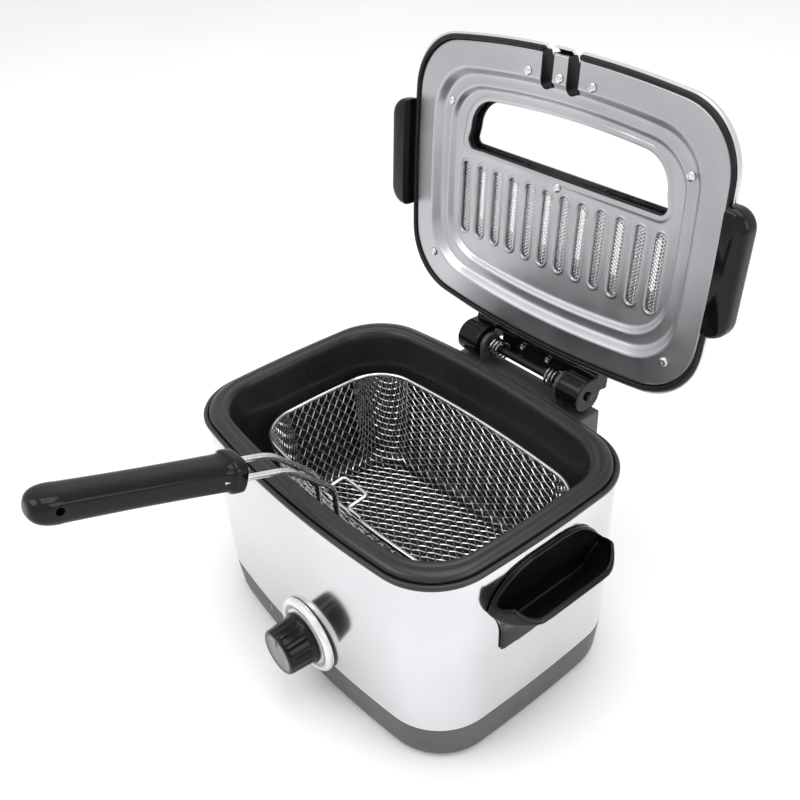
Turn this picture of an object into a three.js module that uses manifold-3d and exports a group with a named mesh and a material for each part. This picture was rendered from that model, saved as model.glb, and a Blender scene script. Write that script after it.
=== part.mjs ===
// Compact deep fryer with its lid open and its basket lowered. Units are millimetres, +Z is up,
// X runs along the long sides, -Y is the front with the basket handle and the control knob.
import * as THREE from "three";
import Module from "manifold-3d";
import { mergeVertices } from "three/addons/utils/BufferGeometryUtils.js";

const wasm = await Module();
wasm.setup();

// ---------------------------------------------------------------- fits
const fitGap = 0.3;            // clearance between neighbouring pieces
const runGap = 0.06;           // radial clearance where a shaft turns in its bearing
const over = 5;                // how far cutting solids run past the faces they cut

// ---------------------------------------------------------------- body sizes
const bodyHalfX = 128;         // half of the rim's length
const bodyHalfY = 94.2;        // half of the rim's depth
const bodyCorner = 42;         // corner radius in plan
const bowOfShortSides = 4;
const bowOfLongSides = 11.5;
const rimTop = 158.8;
const housingTop = rimTop - 7.1;
const skirtTop = 29.7;
const footHeight = 2.2;
const footRadius = 9;
const housingWall = 1.2;
const skirtWall = 3;
const housingInsetTop = 1.5;
const housingInsetBottom = 2.8;
const skirtInsetBottom = 6.5;
const collarFlange = 12;       // inset of the collar's inner edge
const potMouthInset = 15.3;
const potWall = 1.5;
const potFloor = 48;

// ---------------------------------------------------------------- knob and dial
const knobX = 10;
const knobZ = 44;
const knobBaseRadius = 18.5;
const knobEndRadius = 15.5;
const knobLength = 20.5;
const dialInner = 12;
const dialOuter = 26.5;
const dialThickness = 4.6;
const shaftRadius = 3;

// ---------------------------------------------------------------- basket and its handle
const basketHalfX = bodyHalfX - 23.2;
const basketHalfY = bodyHalfY - 30.6;
const basketCorner = 32;
const basketShiftY = 8.2;
const basketRimZ = rimTop - 32;
const basketBottom = 54;
const basketTaper = 9;
const basketWall = 0.9;
const rimWire = 1.6;
const handleWire = 2;
const handleWireX = 9.5;
const basketFront = basketShiftY - basketHalfY;
const handleLegY = basketFront - 4.8;
const handleKneeZ = rimTop - 10.3;
const handleBend = new THREE.Vector2(4.2 - bodyHalfY, rimTop + 20.7);
const handleAngle = THREE.MathUtils.degToRad(19.4);
const gripLength = 118;
const gripHalfWidth = 13;
const gripHalfHeight = 10.5;
const gripStartY = -bodyHalfY - 22.3;

// ---------------------------------------------------------------- lid (drawn closed, then opened)
const hingeY = bodyHalfY + 19.2;
const hingeZ = rimTop - 3.1;
const openAngle = THREE.MathUtils.degToRad(95);
const lidHalfX = bodyHalfX;
const lidHalfY = bodyHalfY + 1.6;
const lidShiftY = 1.3;
const lidSeat = rimTop + fitGap;
const flangeInset = 20.5;
const firstRecess = 5;
const secondRecess = 3.2;
const bandInset = 31;
const sheet = 1.4;
const coverRise = 21;
const coverTop = lidSeat + coverRise;
const slotCount = 12;
const slotPitch = (bodyHalfX - 37.6) / 6;
const slotWidth = 7.2;
const screwHead = 1.2;         // how far the plate screws stand proud
const windowHalfX = bodyHalfX - 44;
const windowFront = 38.9 - bodyHalfY;
const windowBack = windowFront + 39.7;
const slotFront = windowBack + 9.6;
const slotBack = bodyHalfY - 49.2;
const notchX = 10.3;
const notchWidth = 9.6;
const notchEnd = 23.7 - bodyHalfY;
const earLength = 77;
const earDepth = 14.5;
const earHeight = 14;
const pinRadius = 3;
const knuckleRadius = 12;

// ---------------------------------------------------------------- materials
function material(color, roughness, metalness) {
  return new THREE.MeshStandardMaterial({ color, roughness, metalness });
}
const steel = material(0xdadade, 0.22, 1);
const chrome = material(0xd8d8da, 0.12, 1);
const aluminium = material(0xb9bbbe, 0.38, 1);
const nonStick = material(0x2c2d2f, 0.45, 0.1);
const blackGloss = material(0x0e0e10, 0.16, 0);
const blackMatte = material(0x18181a, 0.5, 0);
const greyPlastic = material(0x6c6c6d, 0.55, 0);
const rubber = material(0x141414, 0.8, 0);
const glass = material(0xe4eef0, 0.05, 0);
const dialFinish = material(0xe9e9ec, 0.3, 0.6);
const amber = material(0x5a2a12, 0.3, 0);

// ---------------------------------------------------------------- helpers
function solid(geometry) {
  const bare = geometry.clone();
  bare.deleteAttribute("normal");
  bare.deleteAttribute("uv");
  const merged = mergeVertices(bare, 1e-4);
  const vertProperties = Float32Array.from(merged.attributes.position.array);
  const triVerts = Uint32Array.from(merged.index.array);
  return new wasm.Manifold(new wasm.Mesh({ numProp: 3, vertProperties, triVerts }));
}

function geometryOf(body) {
  const mesh = body.getMesh();
  const geometry = new THREE.BufferGeometry();
  const places = Float32Array.from(mesh.vertProperties);
  geometry.setAttribute("position", new THREE.BufferAttribute(places, 3));
  geometry.setIndex(new THREE.BufferAttribute(Uint32Array.from(mesh.triVerts), 1));
  geometry.computeVertexNormals();
  return geometry;
}

function join(...bodies) {
  return bodies.reduce((sum, body) => sum.add(body));
}

function cut(body, ...tools) {
  return tools.reduce((rest, tool) => rest.subtract(tool), body);
}

// Rounded rectangle whose four sides are shallow arcs, tangent to its corner arcs.
function bowedOutline(halfX, halfY, corner, bowX, bowY, perArc = 5) {
  const radiusX = (halfY * halfY + bowX * bowX) / (2 * bowX);
  const radiusY = (halfX * halfX + bowY * bowY) / (2 * bowY);
  const centreX = new THREE.Vector2(halfX - radiusX, 0);
  const centreY = new THREE.Vector2(0, halfY - radiusY);
  const reachX = radiusX - corner;
  const reachY = radiusY - corner;
  const span = centreX.distanceTo(centreY);
  const along = (reachX * reachX - reachY * reachY + span * span) / (2 * span);
  const aside = Math.sqrt(Math.max(reachX * reachX - along * along, 0));
  const ahead = centreY.clone().sub(centreX).normalize();
  const sideways = new THREE.Vector2(ahead.y, -ahead.x);
  const centre = centreX.clone().addScaledVector(ahead, along).addScaledVector(sideways, aside);
  if (centre.x < 0 || centre.y < 0) {
    centre.copy(centreX).addScaledVector(ahead, along).addScaledVector(sideways, -aside);
  }
  const quarter = [];
  const arc = (origin, radius, from, to, count, last) => {
    for (let i = 0; i < count + (last ? 1 : 0); i += 1) {
      const angle = from + ((to - from) * i) / count;
      const x = origin.x + radius * Math.cos(angle);
      const y = origin.y + radius * Math.sin(angle);
      quarter.push(new THREE.Vector2(x, y));
    }
  };
  const toCornerX = Math.atan2(centre.y - centreX.y, centre.x - centreX.x);
  const toCornerY = Math.atan2(centre.y - centreY.y, centre.x - centreY.x);
  arc(centreX, radiusX, 0, toCornerX, 2, false);
  arc(centre, corner, toCornerX, toCornerY, perArc, false);
  arc(centreY, radiusY, toCornerY, Math.PI / 2, 3, true);
  const points = [...quarter];
  for (let i = quarter.length - 2; i >= 0; i -= 1) {
    points.push(new THREE.Vector2(-quarter[i].x, quarter[i].y));
  }
  for (let i = 1; i < quarter.length; i += 1) {
    points.push(new THREE.Vector2(-quarter[i].x, -quarter[i].y));
  }
  for (let i = quarter.length - 2; i > 0; i -= 1) {
    points.push(new THREE.Vector2(quarter[i].x, -quarter[i].y));
  }
  return points;
}

// Solid through a stack of sections: every level holds a height and how far its outline is drawn in.
function stack(outline, levels, shiftY = 0) {
  const halfX = Math.max(...outline.map((point) => point.x));
  const halfY = Math.max(...outline.map((point) => point.y));
  const shape = new THREE.Shape(outline);
  const steps = levels.length - 1;
  const geometry = new THREE.ExtrudeGeometry(shape, { depth: 1, steps, bevelEnabled: false });
  const place = geometry.attributes.position;
  for (let i = 0; i < place.count; i += 1) {
    const [height, inset] = levels[Math.round(place.getZ(i) * steps)];
    const x = (place.getX(i) * (halfX - inset)) / halfX;
    const y = (place.getY(i) * (halfY - inset)) / halfY;
    place.setXYZ(i, x, y + shiftY, height);
  }
  return solid(geometry);
}

function prism(points, low, high, curveSegments = 4) {
  const shape = points instanceof THREE.Shape ? points : new THREE.Shape(points);
  const geometry = new THREE.ExtrudeGeometry(shape, {
    depth: high - low,
    bevelEnabled: false,
    curveSegments,
  });
  geometry.translate(0, 0, low);
  return solid(geometry);
}

function box(sizeX, sizeY, sizeZ, x, y, z) {
  const geometry = new THREE.BoxGeometry(sizeX, sizeY, sizeZ);
  geometry.translate(x, y, z);
  return solid(geometry);
}

// Cylinder between two points.
function rod(from, to, radius, segments = 20, endRadius = radius) {
  const axis = to.clone().sub(from);
  const geometry = new THREE.CylinderGeometry(endRadius, radius, axis.length(), segments);
  geometry.translate(0, axis.length() / 2, 0);
  const turn = new THREE.Quaternion();
  turn.setFromUnitVectors(new THREE.Vector3(0, 1, 0), axis.clone().normalize());
  geometry.applyQuaternion(turn);
  geometry.translate(from.x, from.y, from.z);
  return solid(geometry);
}

function v(x, y, z) {
  return new THREE.Vector3(x, y, z);
}

// Round wire through corner points, each corner eased by a bend.
function wire(corners, radius, bend, segments, stepLength, sides = 8) {
  const path = new THREE.CurvePath();
  let start = corners[0];
  for (let i = 1; i < corners.length - 1; i += 1) {
    const before = corners[i].clone().sub(corners[i - 1]);
    const after = corners[i + 1].clone().sub(corners[i]);
    const ease = Math.min(bend, before.length() * 0.45, after.length() * 0.45);
    const entry = corners[i].clone().addScaledVector(before.normalize(), -ease);
    const exit = corners[i].clone().addScaledVector(after.normalize(), ease);
    path.add(new THREE.LineCurve3(start, entry));
    path.add(new THREE.QuadraticBezierCurve3(entry, corners[i], exit));
    start = exit;
  }
  path.add(new THREE.LineCurve3(start, corners[corners.length - 1]));
  const section = new THREE.Shape();
  for (let i = 0; i < sides; i += 1) {
    const angle = ((i + 0.5) * 2 * Math.PI) / sides;
    const point = [radius * Math.cos(angle), radius * Math.sin(angle)];
    if (i === 0) section.moveTo(...point);
    else section.lineTo(...point);
  }
  const steps = Math.max(segments, Math.round(path.getLength() / stepLength));
  return solid(new THREE.ExtrudeGeometry(section, { steps, bevelEnabled: false, extrudePath: path }));
}

function slotShape(x, front, back, width) {
  const radius = width / 2;
  const shape = new THREE.Shape();
  shape.absarc(x, back - radius, radius, 0, Math.PI, false);
  shape.absarc(x, front + radius, radius, Math.PI, 2 * Math.PI, false);
  shape.closePath();
  return shape;
}

const fryer = new THREE.Group();
fryer.name = "deep_fryer";

function add(name, body, look, matrix = null) {
  const geometry = geometryOf(body);
  if (matrix) geometry.applyMatrix4(matrix);
  const mesh = new THREE.Mesh(geometry, look);
  mesh.name = name;
  fryer.add(mesh);
}

// ---------------------------------------------------------------- body
const plan = bowedOutline(bodyHalfX, bodyHalfY, bodyCorner, bowOfShortSides, bowOfLongSides);

function wallInset(z) {
  const share = (housingTop - z) / (housingTop - skirtTop);
  return housingInsetTop + (housingInsetBottom - housingInsetTop) * share;
}

// Outside of housing and skirt, grown by a margin, for shaping what is mounted on them.
function bodyVolume(margin) {
  return stack(plan, [
    [footHeight, skirtInsetBottom - margin],
    [footHeight + 4, skirtInsetBottom - 1.8 - margin],
    [skirtTop, housingInsetBottom - margin],
    [rimTop, wallInset(rimTop) - margin],
  ]);
}

const dialBack = -(bodyHalfY - wallInset(knobZ + dialOuter)) - fitGap;
const dialFront = dialBack - dialThickness;
const knobBack = dialFront - fitGap;

let housing = stack(plan, [
  [skirtTop + fitGap, wallInset(skirtTop + fitGap)],
  [housingTop, wallInset(housingTop)],
]);
housing = cut(
  housing,
  stack(plan, [
    [skirtTop - over, wallInset(skirtTop - over) + housingWall],
    [housingTop + over, wallInset(housingTop + over) + housingWall],
  ]),
  rod(
    v(knobX, -bodyHalfY + 25, knobZ),
    v(knobX, -bodyHalfY - 25, knobZ),
    shaftRadius + 1,
    16,
  ),
);
add("housing_shell", housing, steel);

const skirtFloor = footHeight + fitGap;
const skirtOuter = stack(plan, [
  [skirtFloor, skirtInsetBottom],
  [skirtFloor + 1.2, skirtInsetBottom - 1.1],
  [skirtFloor + 4, skirtInsetBottom - 1.8],
  [skirtTop, housingInsetBottom],
]);
const skirtInside = stack(plan, [
  [skirtFloor + skirtWall, skirtInsetBottom + skirtWall],
  [skirtTop + over, housingInsetBottom + skirtWall],
]);
const lampX = -44;
const lampZ = 23;
const lampWindow = box(4, 30, 9, lampX, -bodyHalfY, lampZ);
let skirt = cut(skirtOuter, skirtInside, lampWindow);
for (let i = -3; i <= 3; i += 1) {
  skirt = cut(skirt, box(3.2, 60, 3 * skirtWall, i * 16, 0, skirtFloor + skirtWall / 2));
}
add("base_skirt", skirt, greyPlastic);

const lampBow = (bowOfLongSides * lampX * lampX) / (bodyHalfX * bodyHalfX);
const lampFace = bodyHalfY - wallInset(lampZ) - lampBow;
add(
  "pilot_lamp",
  box(4 - 2 * fitGap, 9, 9 - 2 * fitGap, lampX, -lampFace + 4.9, lampZ),
  amber,
);

const footX = bodyHalfX - 38;
const footY = bodyHalfY - 38;
for (const [name, signX, signY] of [
  ["foot_front_left", -1, -1],
  ["foot_front_right", 1, -1],
  ["foot_back_left", -1, 1],
  ["foot_back_right", 1, 1],
]) {
  const at = v(signX * footX, signY * footY, 0);
  add(name, rod(at, at.clone().setZ(footHeight), footRadius, 16), rubber);
}

// Collar that caps the housing and carries the pot's rolled rim.
const rollSeat = housingTop + fitGap + 1.3;
const collarBead = 2.9;
const collarOuter = stack(plan, [
  [housingTop + fitGap, 0.7],
  [housingTop + fitGap + 0.6, 0],
  [rollSeat + 1.4, 0],
  [rollSeat + 2.1, 0.8],
]);
add(
  "top_collar",
  cut(
    collarOuter,
    stack(plan, [[rollSeat, collarBead], [rollSeat + over, collarBead]]),
    stack(plan, [[housingTop - over, collarFlange], [rollSeat + over, collarFlange]]),
  ),
  nonStick,
);

// Non-stick oil pot with a broad rolled rim.
const rollOuter = collarBead + fitGap;
const rollHeight = rimTop - rollSeat - fitGap;
const potRoll = stack(plan, [
  [rollSeat + fitGap, rollOuter + 1],
  [rollSeat + fitGap + rollHeight * 0.35, rollOuter],
  [rollSeat + fitGap + rollHeight * 0.78, rollOuter + 1.6],
  [rimTop, rollOuter + 4.8],
]);
const potBasin = stack(plan, [
  [potFloor - potWall, potMouthInset + 16.5 - potWall],
  [potFloor + 2.5 - potWall, potMouthInset + 11.5 - potWall],
  [potFloor + 11, potMouthInset + 5.4 - potWall],
  [rollSeat + 2, potMouthInset + 0.9 - potWall],
]);
const potInside = stack(plan, [
  [potFloor, potMouthInset + 16.5],
  [potFloor + 2.5, potMouthInset + 11.5],
  [potFloor + 12, potMouthInset + 5.4],
  [rimTop - 7, potMouthInset + 0.9],
  [rimTop + 1, potMouthInset - 1.5],
]);
add("oil_pot", cut(join(potRoll, potBasin), potInside), nonStick);

// Heating element under the pot, an open loop with two terminals.
const elementZ = potFloor - potWall - 7;
const elementX = bodyHalfX - 50;
const elementY = bodyHalfY - 50;
add(
  "heating_element",
  wire(
    [
      v(-12, -elementY - 14, elementZ - 8),
      v(-12, -elementY, elementZ),
      v(-elementX, -elementY, elementZ),
      v(-elementX, elementY, elementZ),
      v(elementX, elementY, elementZ),
      v(elementX, -elementY, elementZ),
      v(30, -elementY, elementZ),
      v(30, -elementY - 14, elementZ - 8),
    ],
    4,
    20,
    24,
    26,
    6,
  ),
  steel,
);

// Thermostat behind the knob.
const thermostatBack = -bodyHalfY + 17;
const thermostatFront = -bodyHalfY + wallInset(knobZ) + housingWall + 2;
const thermostatMiddle = (thermostatBack + thermostatFront) / 2;
add(
  "thermostat_body",
  cut(
    box(34, thermostatBack - thermostatFront, 23, knobX, thermostatMiddle, knobZ),
    rod(
      v(knobX, -bodyHalfY - over, knobZ),
      v(knobX, thermostatBack - 3, knobZ),
      shaftRadius + runGap,
      24,
    ),
  ),
  blackMatte,
);
const shaftEnd = knobBack - knobLength + 7;
const shaftStart = thermostatBack - 3 - fitGap;
add(
  "thermostat_shaft",
  rod(v(knobX, shaftStart, knobZ), v(knobX, shaftEnd, knobZ), shaftRadius, 20),
  steel,
);

// Dial ring with a bevelled face, and the fluted knob in front of it.
function turned(profile, segments, y) {
  const points = [...profile].reverse().map(([radius, along]) => new THREE.Vector2(radius, along));
  const geometry = new THREE.LatheGeometry(points, segments);
  geometry.translate(knobX, y, knobZ);
  return solid(geometry);
}
const dialRing = turned(
  [
    [dialInner, -dialThickness],
    [dialInner, 0],
    [dialOuter, 0],
    [dialOuter, -dialThickness * 0.45],
    [dialOuter - 2.2, -dialThickness * 0.9],
    [dialOuter - 3.4, -dialThickness],
    [dialInner, -dialThickness],
  ],
  32,
  dialBack,
);
add("dial_ring", dialRing, dialFinish);
let knob = turned(
  [
    [0, -knobLength],
    [0, 0],
    [knobBaseRadius, 0],
    [knobBaseRadius, -2],
    [knobBaseRadius - 1.6, -3.6],
    [knobEndRadius + 0.4, -knobLength + 1.6],
    [knobEndRadius - 1.2, -knobLength],
    [0, -knobLength],
  ],
  36,
  knobBack,
);
const fluteCount = 12;
for (let i = 0; i < fluteCount; i += 1) {
  const angle = ((i + 0.5) * 2 * Math.PI) / fluteCount;
  const reach = knobEndRadius + 1.9;
  const x = knobX + reach * Math.cos(angle);
  const z = knobZ + reach * Math.sin(angle);
  knob = cut(knob, rod(v(x, knobBack - 4.5, z), v(x, knobBack - knobLength - 1, z), 1.1, 6));
}
knob = cut(
  knob,
  rod(
    v(knobX, knobBack + 1, knobZ),
    v(knobX, shaftEnd - fitGap, knobZ),
    shaftRadius + fitGap,
    20,
  ),
);
add("control_knob", knob, blackGloss);

// Scooped carrying handles on the two short sides.
const scoopReach = 27;
const scoopHalf = 45;
const scoopLow = housingTop - 74.7;
const scoopHigh = housingTop - 4;
const scoopLip = housingTop - 30.7;
const scoopWall = 3.2;
function scoopOutline(reach, half) {
  const corner = Math.min(reach, half) * 0.62;
  const inner = bodyHalfX - 14;
  const outer = bodyHalfX - housingInsetTop + reach;
  const shape = new THREE.Shape();
  shape.moveTo(inner, -half);
  shape.lineTo(outer - corner, -half);
  shape.absarc(outer - corner, -half + corner, corner, -Math.PI / 2, 0, false);
  shape.absarc(outer - corner, half - corner, corner, 0, Math.PI / 2, false);
  shape.lineTo(inner, half);
  shape.closePath();
  return shape;
}
// How far the scoop stands out at a share of its height: a thin foot, then a quick swell to the lip.
function scoopSwell(share) {
  const rise = THREE.MathUtils.clamp((share - 0.22) / 0.4, 0, 1);
  return 0.06 + 0.94 * rise * rise;
}
function scoopStack(margin, low, high, drop) {
  const outline = scoopOutline(scoopReach - margin, scoopHalf - margin);
  const geometry = new THREE.ExtrudeGeometry(outline, {
    depth: 1,
    steps: 8,
    bevelEnabled: false,
    curveSegments: 4,
  });
  const place = geometry.attributes.position;
  const wallX = bodyHalfX - housingInsetTop;
  for (let i = 0; i < place.count; i += 1) {
    const z = low + (high - low) * place.getZ(i);
    const swell = scoopSwell((z - drop - scoopLow) / (scoopHigh - scoopLow));
    const past = Math.max(place.getX(i) - wallX, 0);
    const x = place.getX(i) - past * (1 - swell);
    place.setXYZ(i, x, place.getY(i) * (0.75 + 0.25 * swell), z);
  }
  return solid(geometry);
}
const mouthTilt = Math.atan2(scoopHigh - scoopLip, scoopReach - 4);
const mouthCut = new THREE.BoxGeometry(200, 200, 60);
mouthCut.translate(100, 0, 30);
mouthCut.rotateY(mouthTilt);
mouthCut.translate(bodyHalfX - housingInsetTop + 4, 0, scoopHigh);
const scoop = cut(
  scoopStack(0, scoopLow, scoopHigh, 0),
  scoopStack(scoopWall, scoopLow + 24, scoopHigh + 20, 2.5).subtract(
    box(40, 200, 200, bodyHalfX - housingInsetTop + scoopWall - 20, 0, 100),
  ),
  solid(mouthCut),
  bodyVolume(fitGap),
);
add("side_handle_right", scoop, blackGloss);
add("side_handle_left", scoop.mirror([1, 0, 0]), blackGloss);

// Cord gland low on the back wall.
const glandZ = 48;
const glandX = 70;
add(
  "cord_gland",
  cut(
    join(
      rod(v(glandX, bodyHalfY - 12, glandZ), v(glandX, bodyHalfY + 3, glandZ), 11, 24),
      rod(v(glandX, bodyHalfY, glandZ), v(glandX, bodyHalfY + 13, glandZ), 7, 24, 5.5),
    ),
    bodyVolume(fitGap),
  ),
  blackMatte,
);

// ---------------------------------------------------------------- hinge on the body
const bracketHalf = 60;
const bracketTop = hingeZ - knuckleRadius - 1.5;
const lugIn = 33.4;
const lugOut = 37.4;
const bracketBack = hingeY + 9;
const bracketFront = bodyHalfY - 20;
const bracketMiddle = (bracketBack + bracketFront) / 2;
let bracket = box(
  2 * bracketHalf,
  bracketBack - bracketFront,
  30,
  0,
  bracketMiddle,
  bracketTop - 15,
);
for (const side of [-1, 1]) {
  const lugX = (side * (lugIn + lugOut)) / 2;
  const lugLow = bracketTop - 4;
  bracket = join(
    bracket,
    box(lugOut - lugIn, 18, hingeZ - lugLow, lugX, hingeY, (hingeZ + lugLow) / 2),
    rod(v(side * lugIn, hingeY, hingeZ), v(side * lugOut, hingeY, hingeZ), 9, 20),
  );
}
bracket = cut(
  bracket,
  bodyVolume(fitGap),
  rod(
    v(-bracketHalf, hingeY, hingeZ),
    v(bracketHalf, hingeY, hingeZ),
    pinRadius + fitGap,
    20,
  ),
);
add("hinge_bracket", bracket, greyPlastic);
const pinHalf = 59;
const pin = rod(v(-pinHalf, hingeY, hingeZ), v(pinHalf, hingeY, hingeZ), pinRadius, 20);
add("hinge_pin", pin, blackMatte);

// ---------------------------------------------------------------- basket
const basketPlan = bowedOutline(basketHalfX, basketHalfY, basketCorner, 3, 7);
const shellTop = basketRimZ - rimWire - fitGap;
const basketOuter = stack(
  basketPlan,
  [
    [basketBottom, basketTaper + 7],
    [basketBottom + 2, basketTaper + 3],
    [basketBottom + 7, basketTaper],
    [shellTop, 0],
  ],
  basketShiftY,
);
const basketInner = stack(
  basketPlan,
  [
    [basketBottom + basketWall, basketTaper + 7 + basketWall],
    [basketBottom + 2 + basketWall, basketTaper + 3 + basketWall],
    [basketBottom + 7 + basketWall, basketTaper + basketWall],
    [shellTop + over, basketWall],
  ],
  basketShiftY,
);
add("basket_mesh", cut(basketOuter, basketInner), chrome);
const half = rimWire * 0.42;
const rimRing = cut(
  stack(
    basketPlan,
    [
      [basketRimZ - rimWire, half],
      [basketRimZ, 0],
      [basketRimZ + rimWire, half],
    ],
    basketShiftY,
  ),
  stack(
    basketPlan,
    [
      [basketRimZ - rimWire - 1, 2 * rimWire],
      [basketRimZ + rimWire + 1, 2 * rimWire],
    ],
    basketShiftY,
  ),
);
add("basket_rim", rimRing, chrome);
const loopZ = basketRimZ + rimWire + fitGap + 1.3;
add(
  "basket_loop",
  wire(
    [
      v(-25, basketFront + 1.6, loopZ),
      v(-12, basketFront + 1.6, loopZ),
      v(-12, basketFront + 17, loopZ + 2),
      v(12, basketFront + 17, loopZ + 2),
      v(12, basketFront + 1.6, loopZ),
      v(25, basketFront + 1.6, loopZ),
    ],
    1.3,
    4,
    16,
    5,
    6,
  ),
  chrome,
);
// Hooked plate on the basket's front that holds the lower end of the handle wire.
const barZ = basketRimZ - 14.8;
const hookGap = handleWire + 1.1;
const hookBack = handleLegY + hookGap;
const hookShape = new THREE.Shape();
hookShape.moveTo(hookBack, basketRimZ - rimWire - 3);
hookShape.lineTo(hookBack, barZ - hookGap);
hookShape.lineTo(handleLegY - hookGap, barZ - hookGap);
hookShape.lineTo(handleLegY - hookGap, barZ + 3);
hookShape.lineTo(handleLegY - hookGap - 1.2, barZ + 3);
hookShape.lineTo(handleLegY - hookGap - 1.2, barZ - hookGap - 1.2);
hookShape.lineTo(basketFront + basketTaper, barZ - hookGap - 1.2);
hookShape.lineTo(basketFront + basketTaper, barZ - hookGap);
hookShape.lineTo(hookBack + 1.2, barZ - hookGap);
hookShape.lineTo(hookBack + 1.2, basketRimZ - rimWire - 3);
hookShape.closePath();
const hookGeometry = new THREE.ExtrudeGeometry(hookShape, { depth: 32, bevelEnabled: false });
hookGeometry.applyMatrix4(new THREE.Matrix4().makeBasis(v(0, 1, 0), v(0, 0, 1), v(1, 0, 0)));
hookGeometry.translate(-16, 0, 0);
const basketSkin = stack(
  basketPlan,
  [
    [basketBottom + 7, basketTaper - fitGap],
    [shellTop, -fitGap],
  ],
  basketShiftY,
);
add("handle_socket", cut(solid(hookGeometry), basketSkin), chrome);

// ---------------------------------------------------------------- basket handle
const gripAxis = v(0, -Math.cos(handleAngle), Math.sin(handleAngle));
const wireInGrip = 14;
const gripRise = (handleBend.x - gripStartY) * Math.tan(handleAngle);
const gripStart = v(0, gripStartY, handleBend.y + gripRise);
const inGrip = gripStart.clone().addScaledVector(gripAxis, wireInGrip);
const wirePath = (side) => [
  v(side * handleWireX, inGrip.y, inGrip.z),
  v(side * handleWireX, handleBend.x, handleBend.y),
  v(side * handleWireX, handleLegY, handleKneeZ),
  v(side * handleWireX, handleLegY, barZ),
];
add(
  "handle_wire",
  wire([...wirePath(-1), ...wirePath(1).reverse()], handleWire, 8, 30, 6.5),
  chrome,
);
const gripTurn = new THREE.Matrix4()
  .makeTranslation(gripStart.x, gripStart.y, gripStart.z)
  .multiply(new THREE.Matrix4().makeRotationX(Math.PI / 2 - handleAngle));
const gripOutline = bowedOutline(gripHalfWidth, gripHalfHeight, 7.5, 0.8, 1, 3);
const gripBody = stack(gripOutline, [
  [0, 0.9],
  [1.2, 0],
  [8, 0],
  [9.5, 1.6],
  [gripLength * 0.55, 2.2],
  [gripLength - 12, 1.6],
  [gripLength - 6, 2.3],
  [gripLength - 2, 4.4],
  [gripLength, 7.5],
]);
const gripBores = [-1, 1].map((side) =>
  rod(
    v(side * handleWireX, 0, -over),
    v(side * handleWireX, 0, wireInGrip + fitGap),
    handleWire + fitGap,
    16,
  ),
);
const holeReach = gripHalfWidth + over;
const hangHole = rod(
  v(-holeReach, -1.5, gripLength - 13),
  v(holeReach, -1.5, gripLength - 13),
  2.3,
  16,
);
add("handle_grip", cut(gripBody, ...gripBores, hangHole), blackGloss, gripTurn);
for (const [name, side] of [["grip_rivet_left", -1], ["grip_rivet_right", 1]]) {
  const rivetX = side * handleWireX;
  const rivet = rod(v(rivetX, 5.2, -fitGap), v(rivetX, 5.2, -fitGap - 1), 1.5, 14);
  add(name, rivet, chrome, gripTurn);
}

// ---------------------------------------------------------------- lid, drawn closed
const opened = new THREE.Matrix4()
  .makeTranslation(0, hingeY, hingeZ)
  .multiply(new THREE.Matrix4().makeRotationX(-openAngle))
  .multiply(new THREE.Matrix4().makeTranslation(0, -hingeY, -hingeZ));
const lidPlan = bowedOutline(lidHalfX, lidHalfY, bodyCorner, bowOfShortSides, bowOfLongSides);
const layer = (levels) => stack(lidPlan, levels, lidShiftY);

function notches(low, high) {
  const cuts = [-1, 1].map((side) => {
    const shape = slotShape(side * notchX, -lidHalfY - 40, notchEnd, notchWidth);
    return prism(shape, low, high);
  });
  return join(...cuts);
}
function windowShape(grow) {
  const halfX = windowHalfX + grow;
  const back = windowBack + grow;
  const front = windowFront - grow;
  const rear = 6 + grow;
  const fore = 22 + grow;
  const shape = new THREE.Shape();
  shape.moveTo(halfX - rear, back);
  shape.absarc(halfX - rear, back - rear, rear, Math.PI / 2, 0, true);
  shape.absarc(halfX - fore - 2, front + fore + 4, fore, 0, -Math.PI * 0.46, true);
  shape.quadraticCurveTo(0, front - 1.5, -(halfX - fore - 2) - fore * 0.12, front + 4.2);
  shape.absarc(-(halfX - fore - 2), front + fore + 4, fore, -Math.PI * 0.54, -Math.PI, true);
  shape.absarc(-halfX + rear, back - rear, rear, Math.PI, Math.PI / 2, true);
  shape.closePath();
  return shape;
}
function slots(front, back, width, low, high) {
  const list = [];
  for (let i = 0; i < slotCount; i += 1) {
    const x = (i - (slotCount - 1) / 2) * slotPitch;
    list.push(prism(slotShape(x, front, back, width), low, high, 3));
  }
  return list;
}

const gasketTop = lidSeat + 3.6;
add(
  "lid_gasket",
  cut(
    layer([[lidSeat, -0.6], [lidSeat + 0.8, -1], [gasketTop, -1]]),
    layer([[lidSeat - over, 1.8], [gasketTop + over, 1.8]]),
    box(2 * notchX + notchWidth, 60, 60, 0, -lidHalfY, lidSeat),
  ),
  rubber,
  opened,
);

const plateLow = lidSeat + screwHead + 0.4;
const bandLow = plateLow + firstRecess;
const panelLow = bandLow + secondRecess;
const plateEdge = 1.8 + fitGap;
let plate = join(
  layer([[plateLow, plateEdge], [plateLow + sheet, plateEdge]]),
  layer([[plateLow + 0.4, flangeInset - 1.2], [bandLow + sheet, flangeInset + 2]]),
  layer([[bandLow + 0.4, bandInset - 1.2], [panelLow + sheet, bandInset + 1.6]]),
);
plate = cut(
  plate,
  layer([[plateLow - 1, flangeInset], [plateLow, flangeInset], [bandLow, flangeInset + 3.4]]),
  layer([[bandLow - 1, bandInset], [bandLow, bandInset], [panelLow, bandInset + 2.8]]),
  prism(windowShape(0), 0, 300),
  ...slots(slotFront, slotBack, slotWidth, 0, 300),
  notches(0, 300),
);
add("lid_inner_plate", plate, aluminium, opened);

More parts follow.
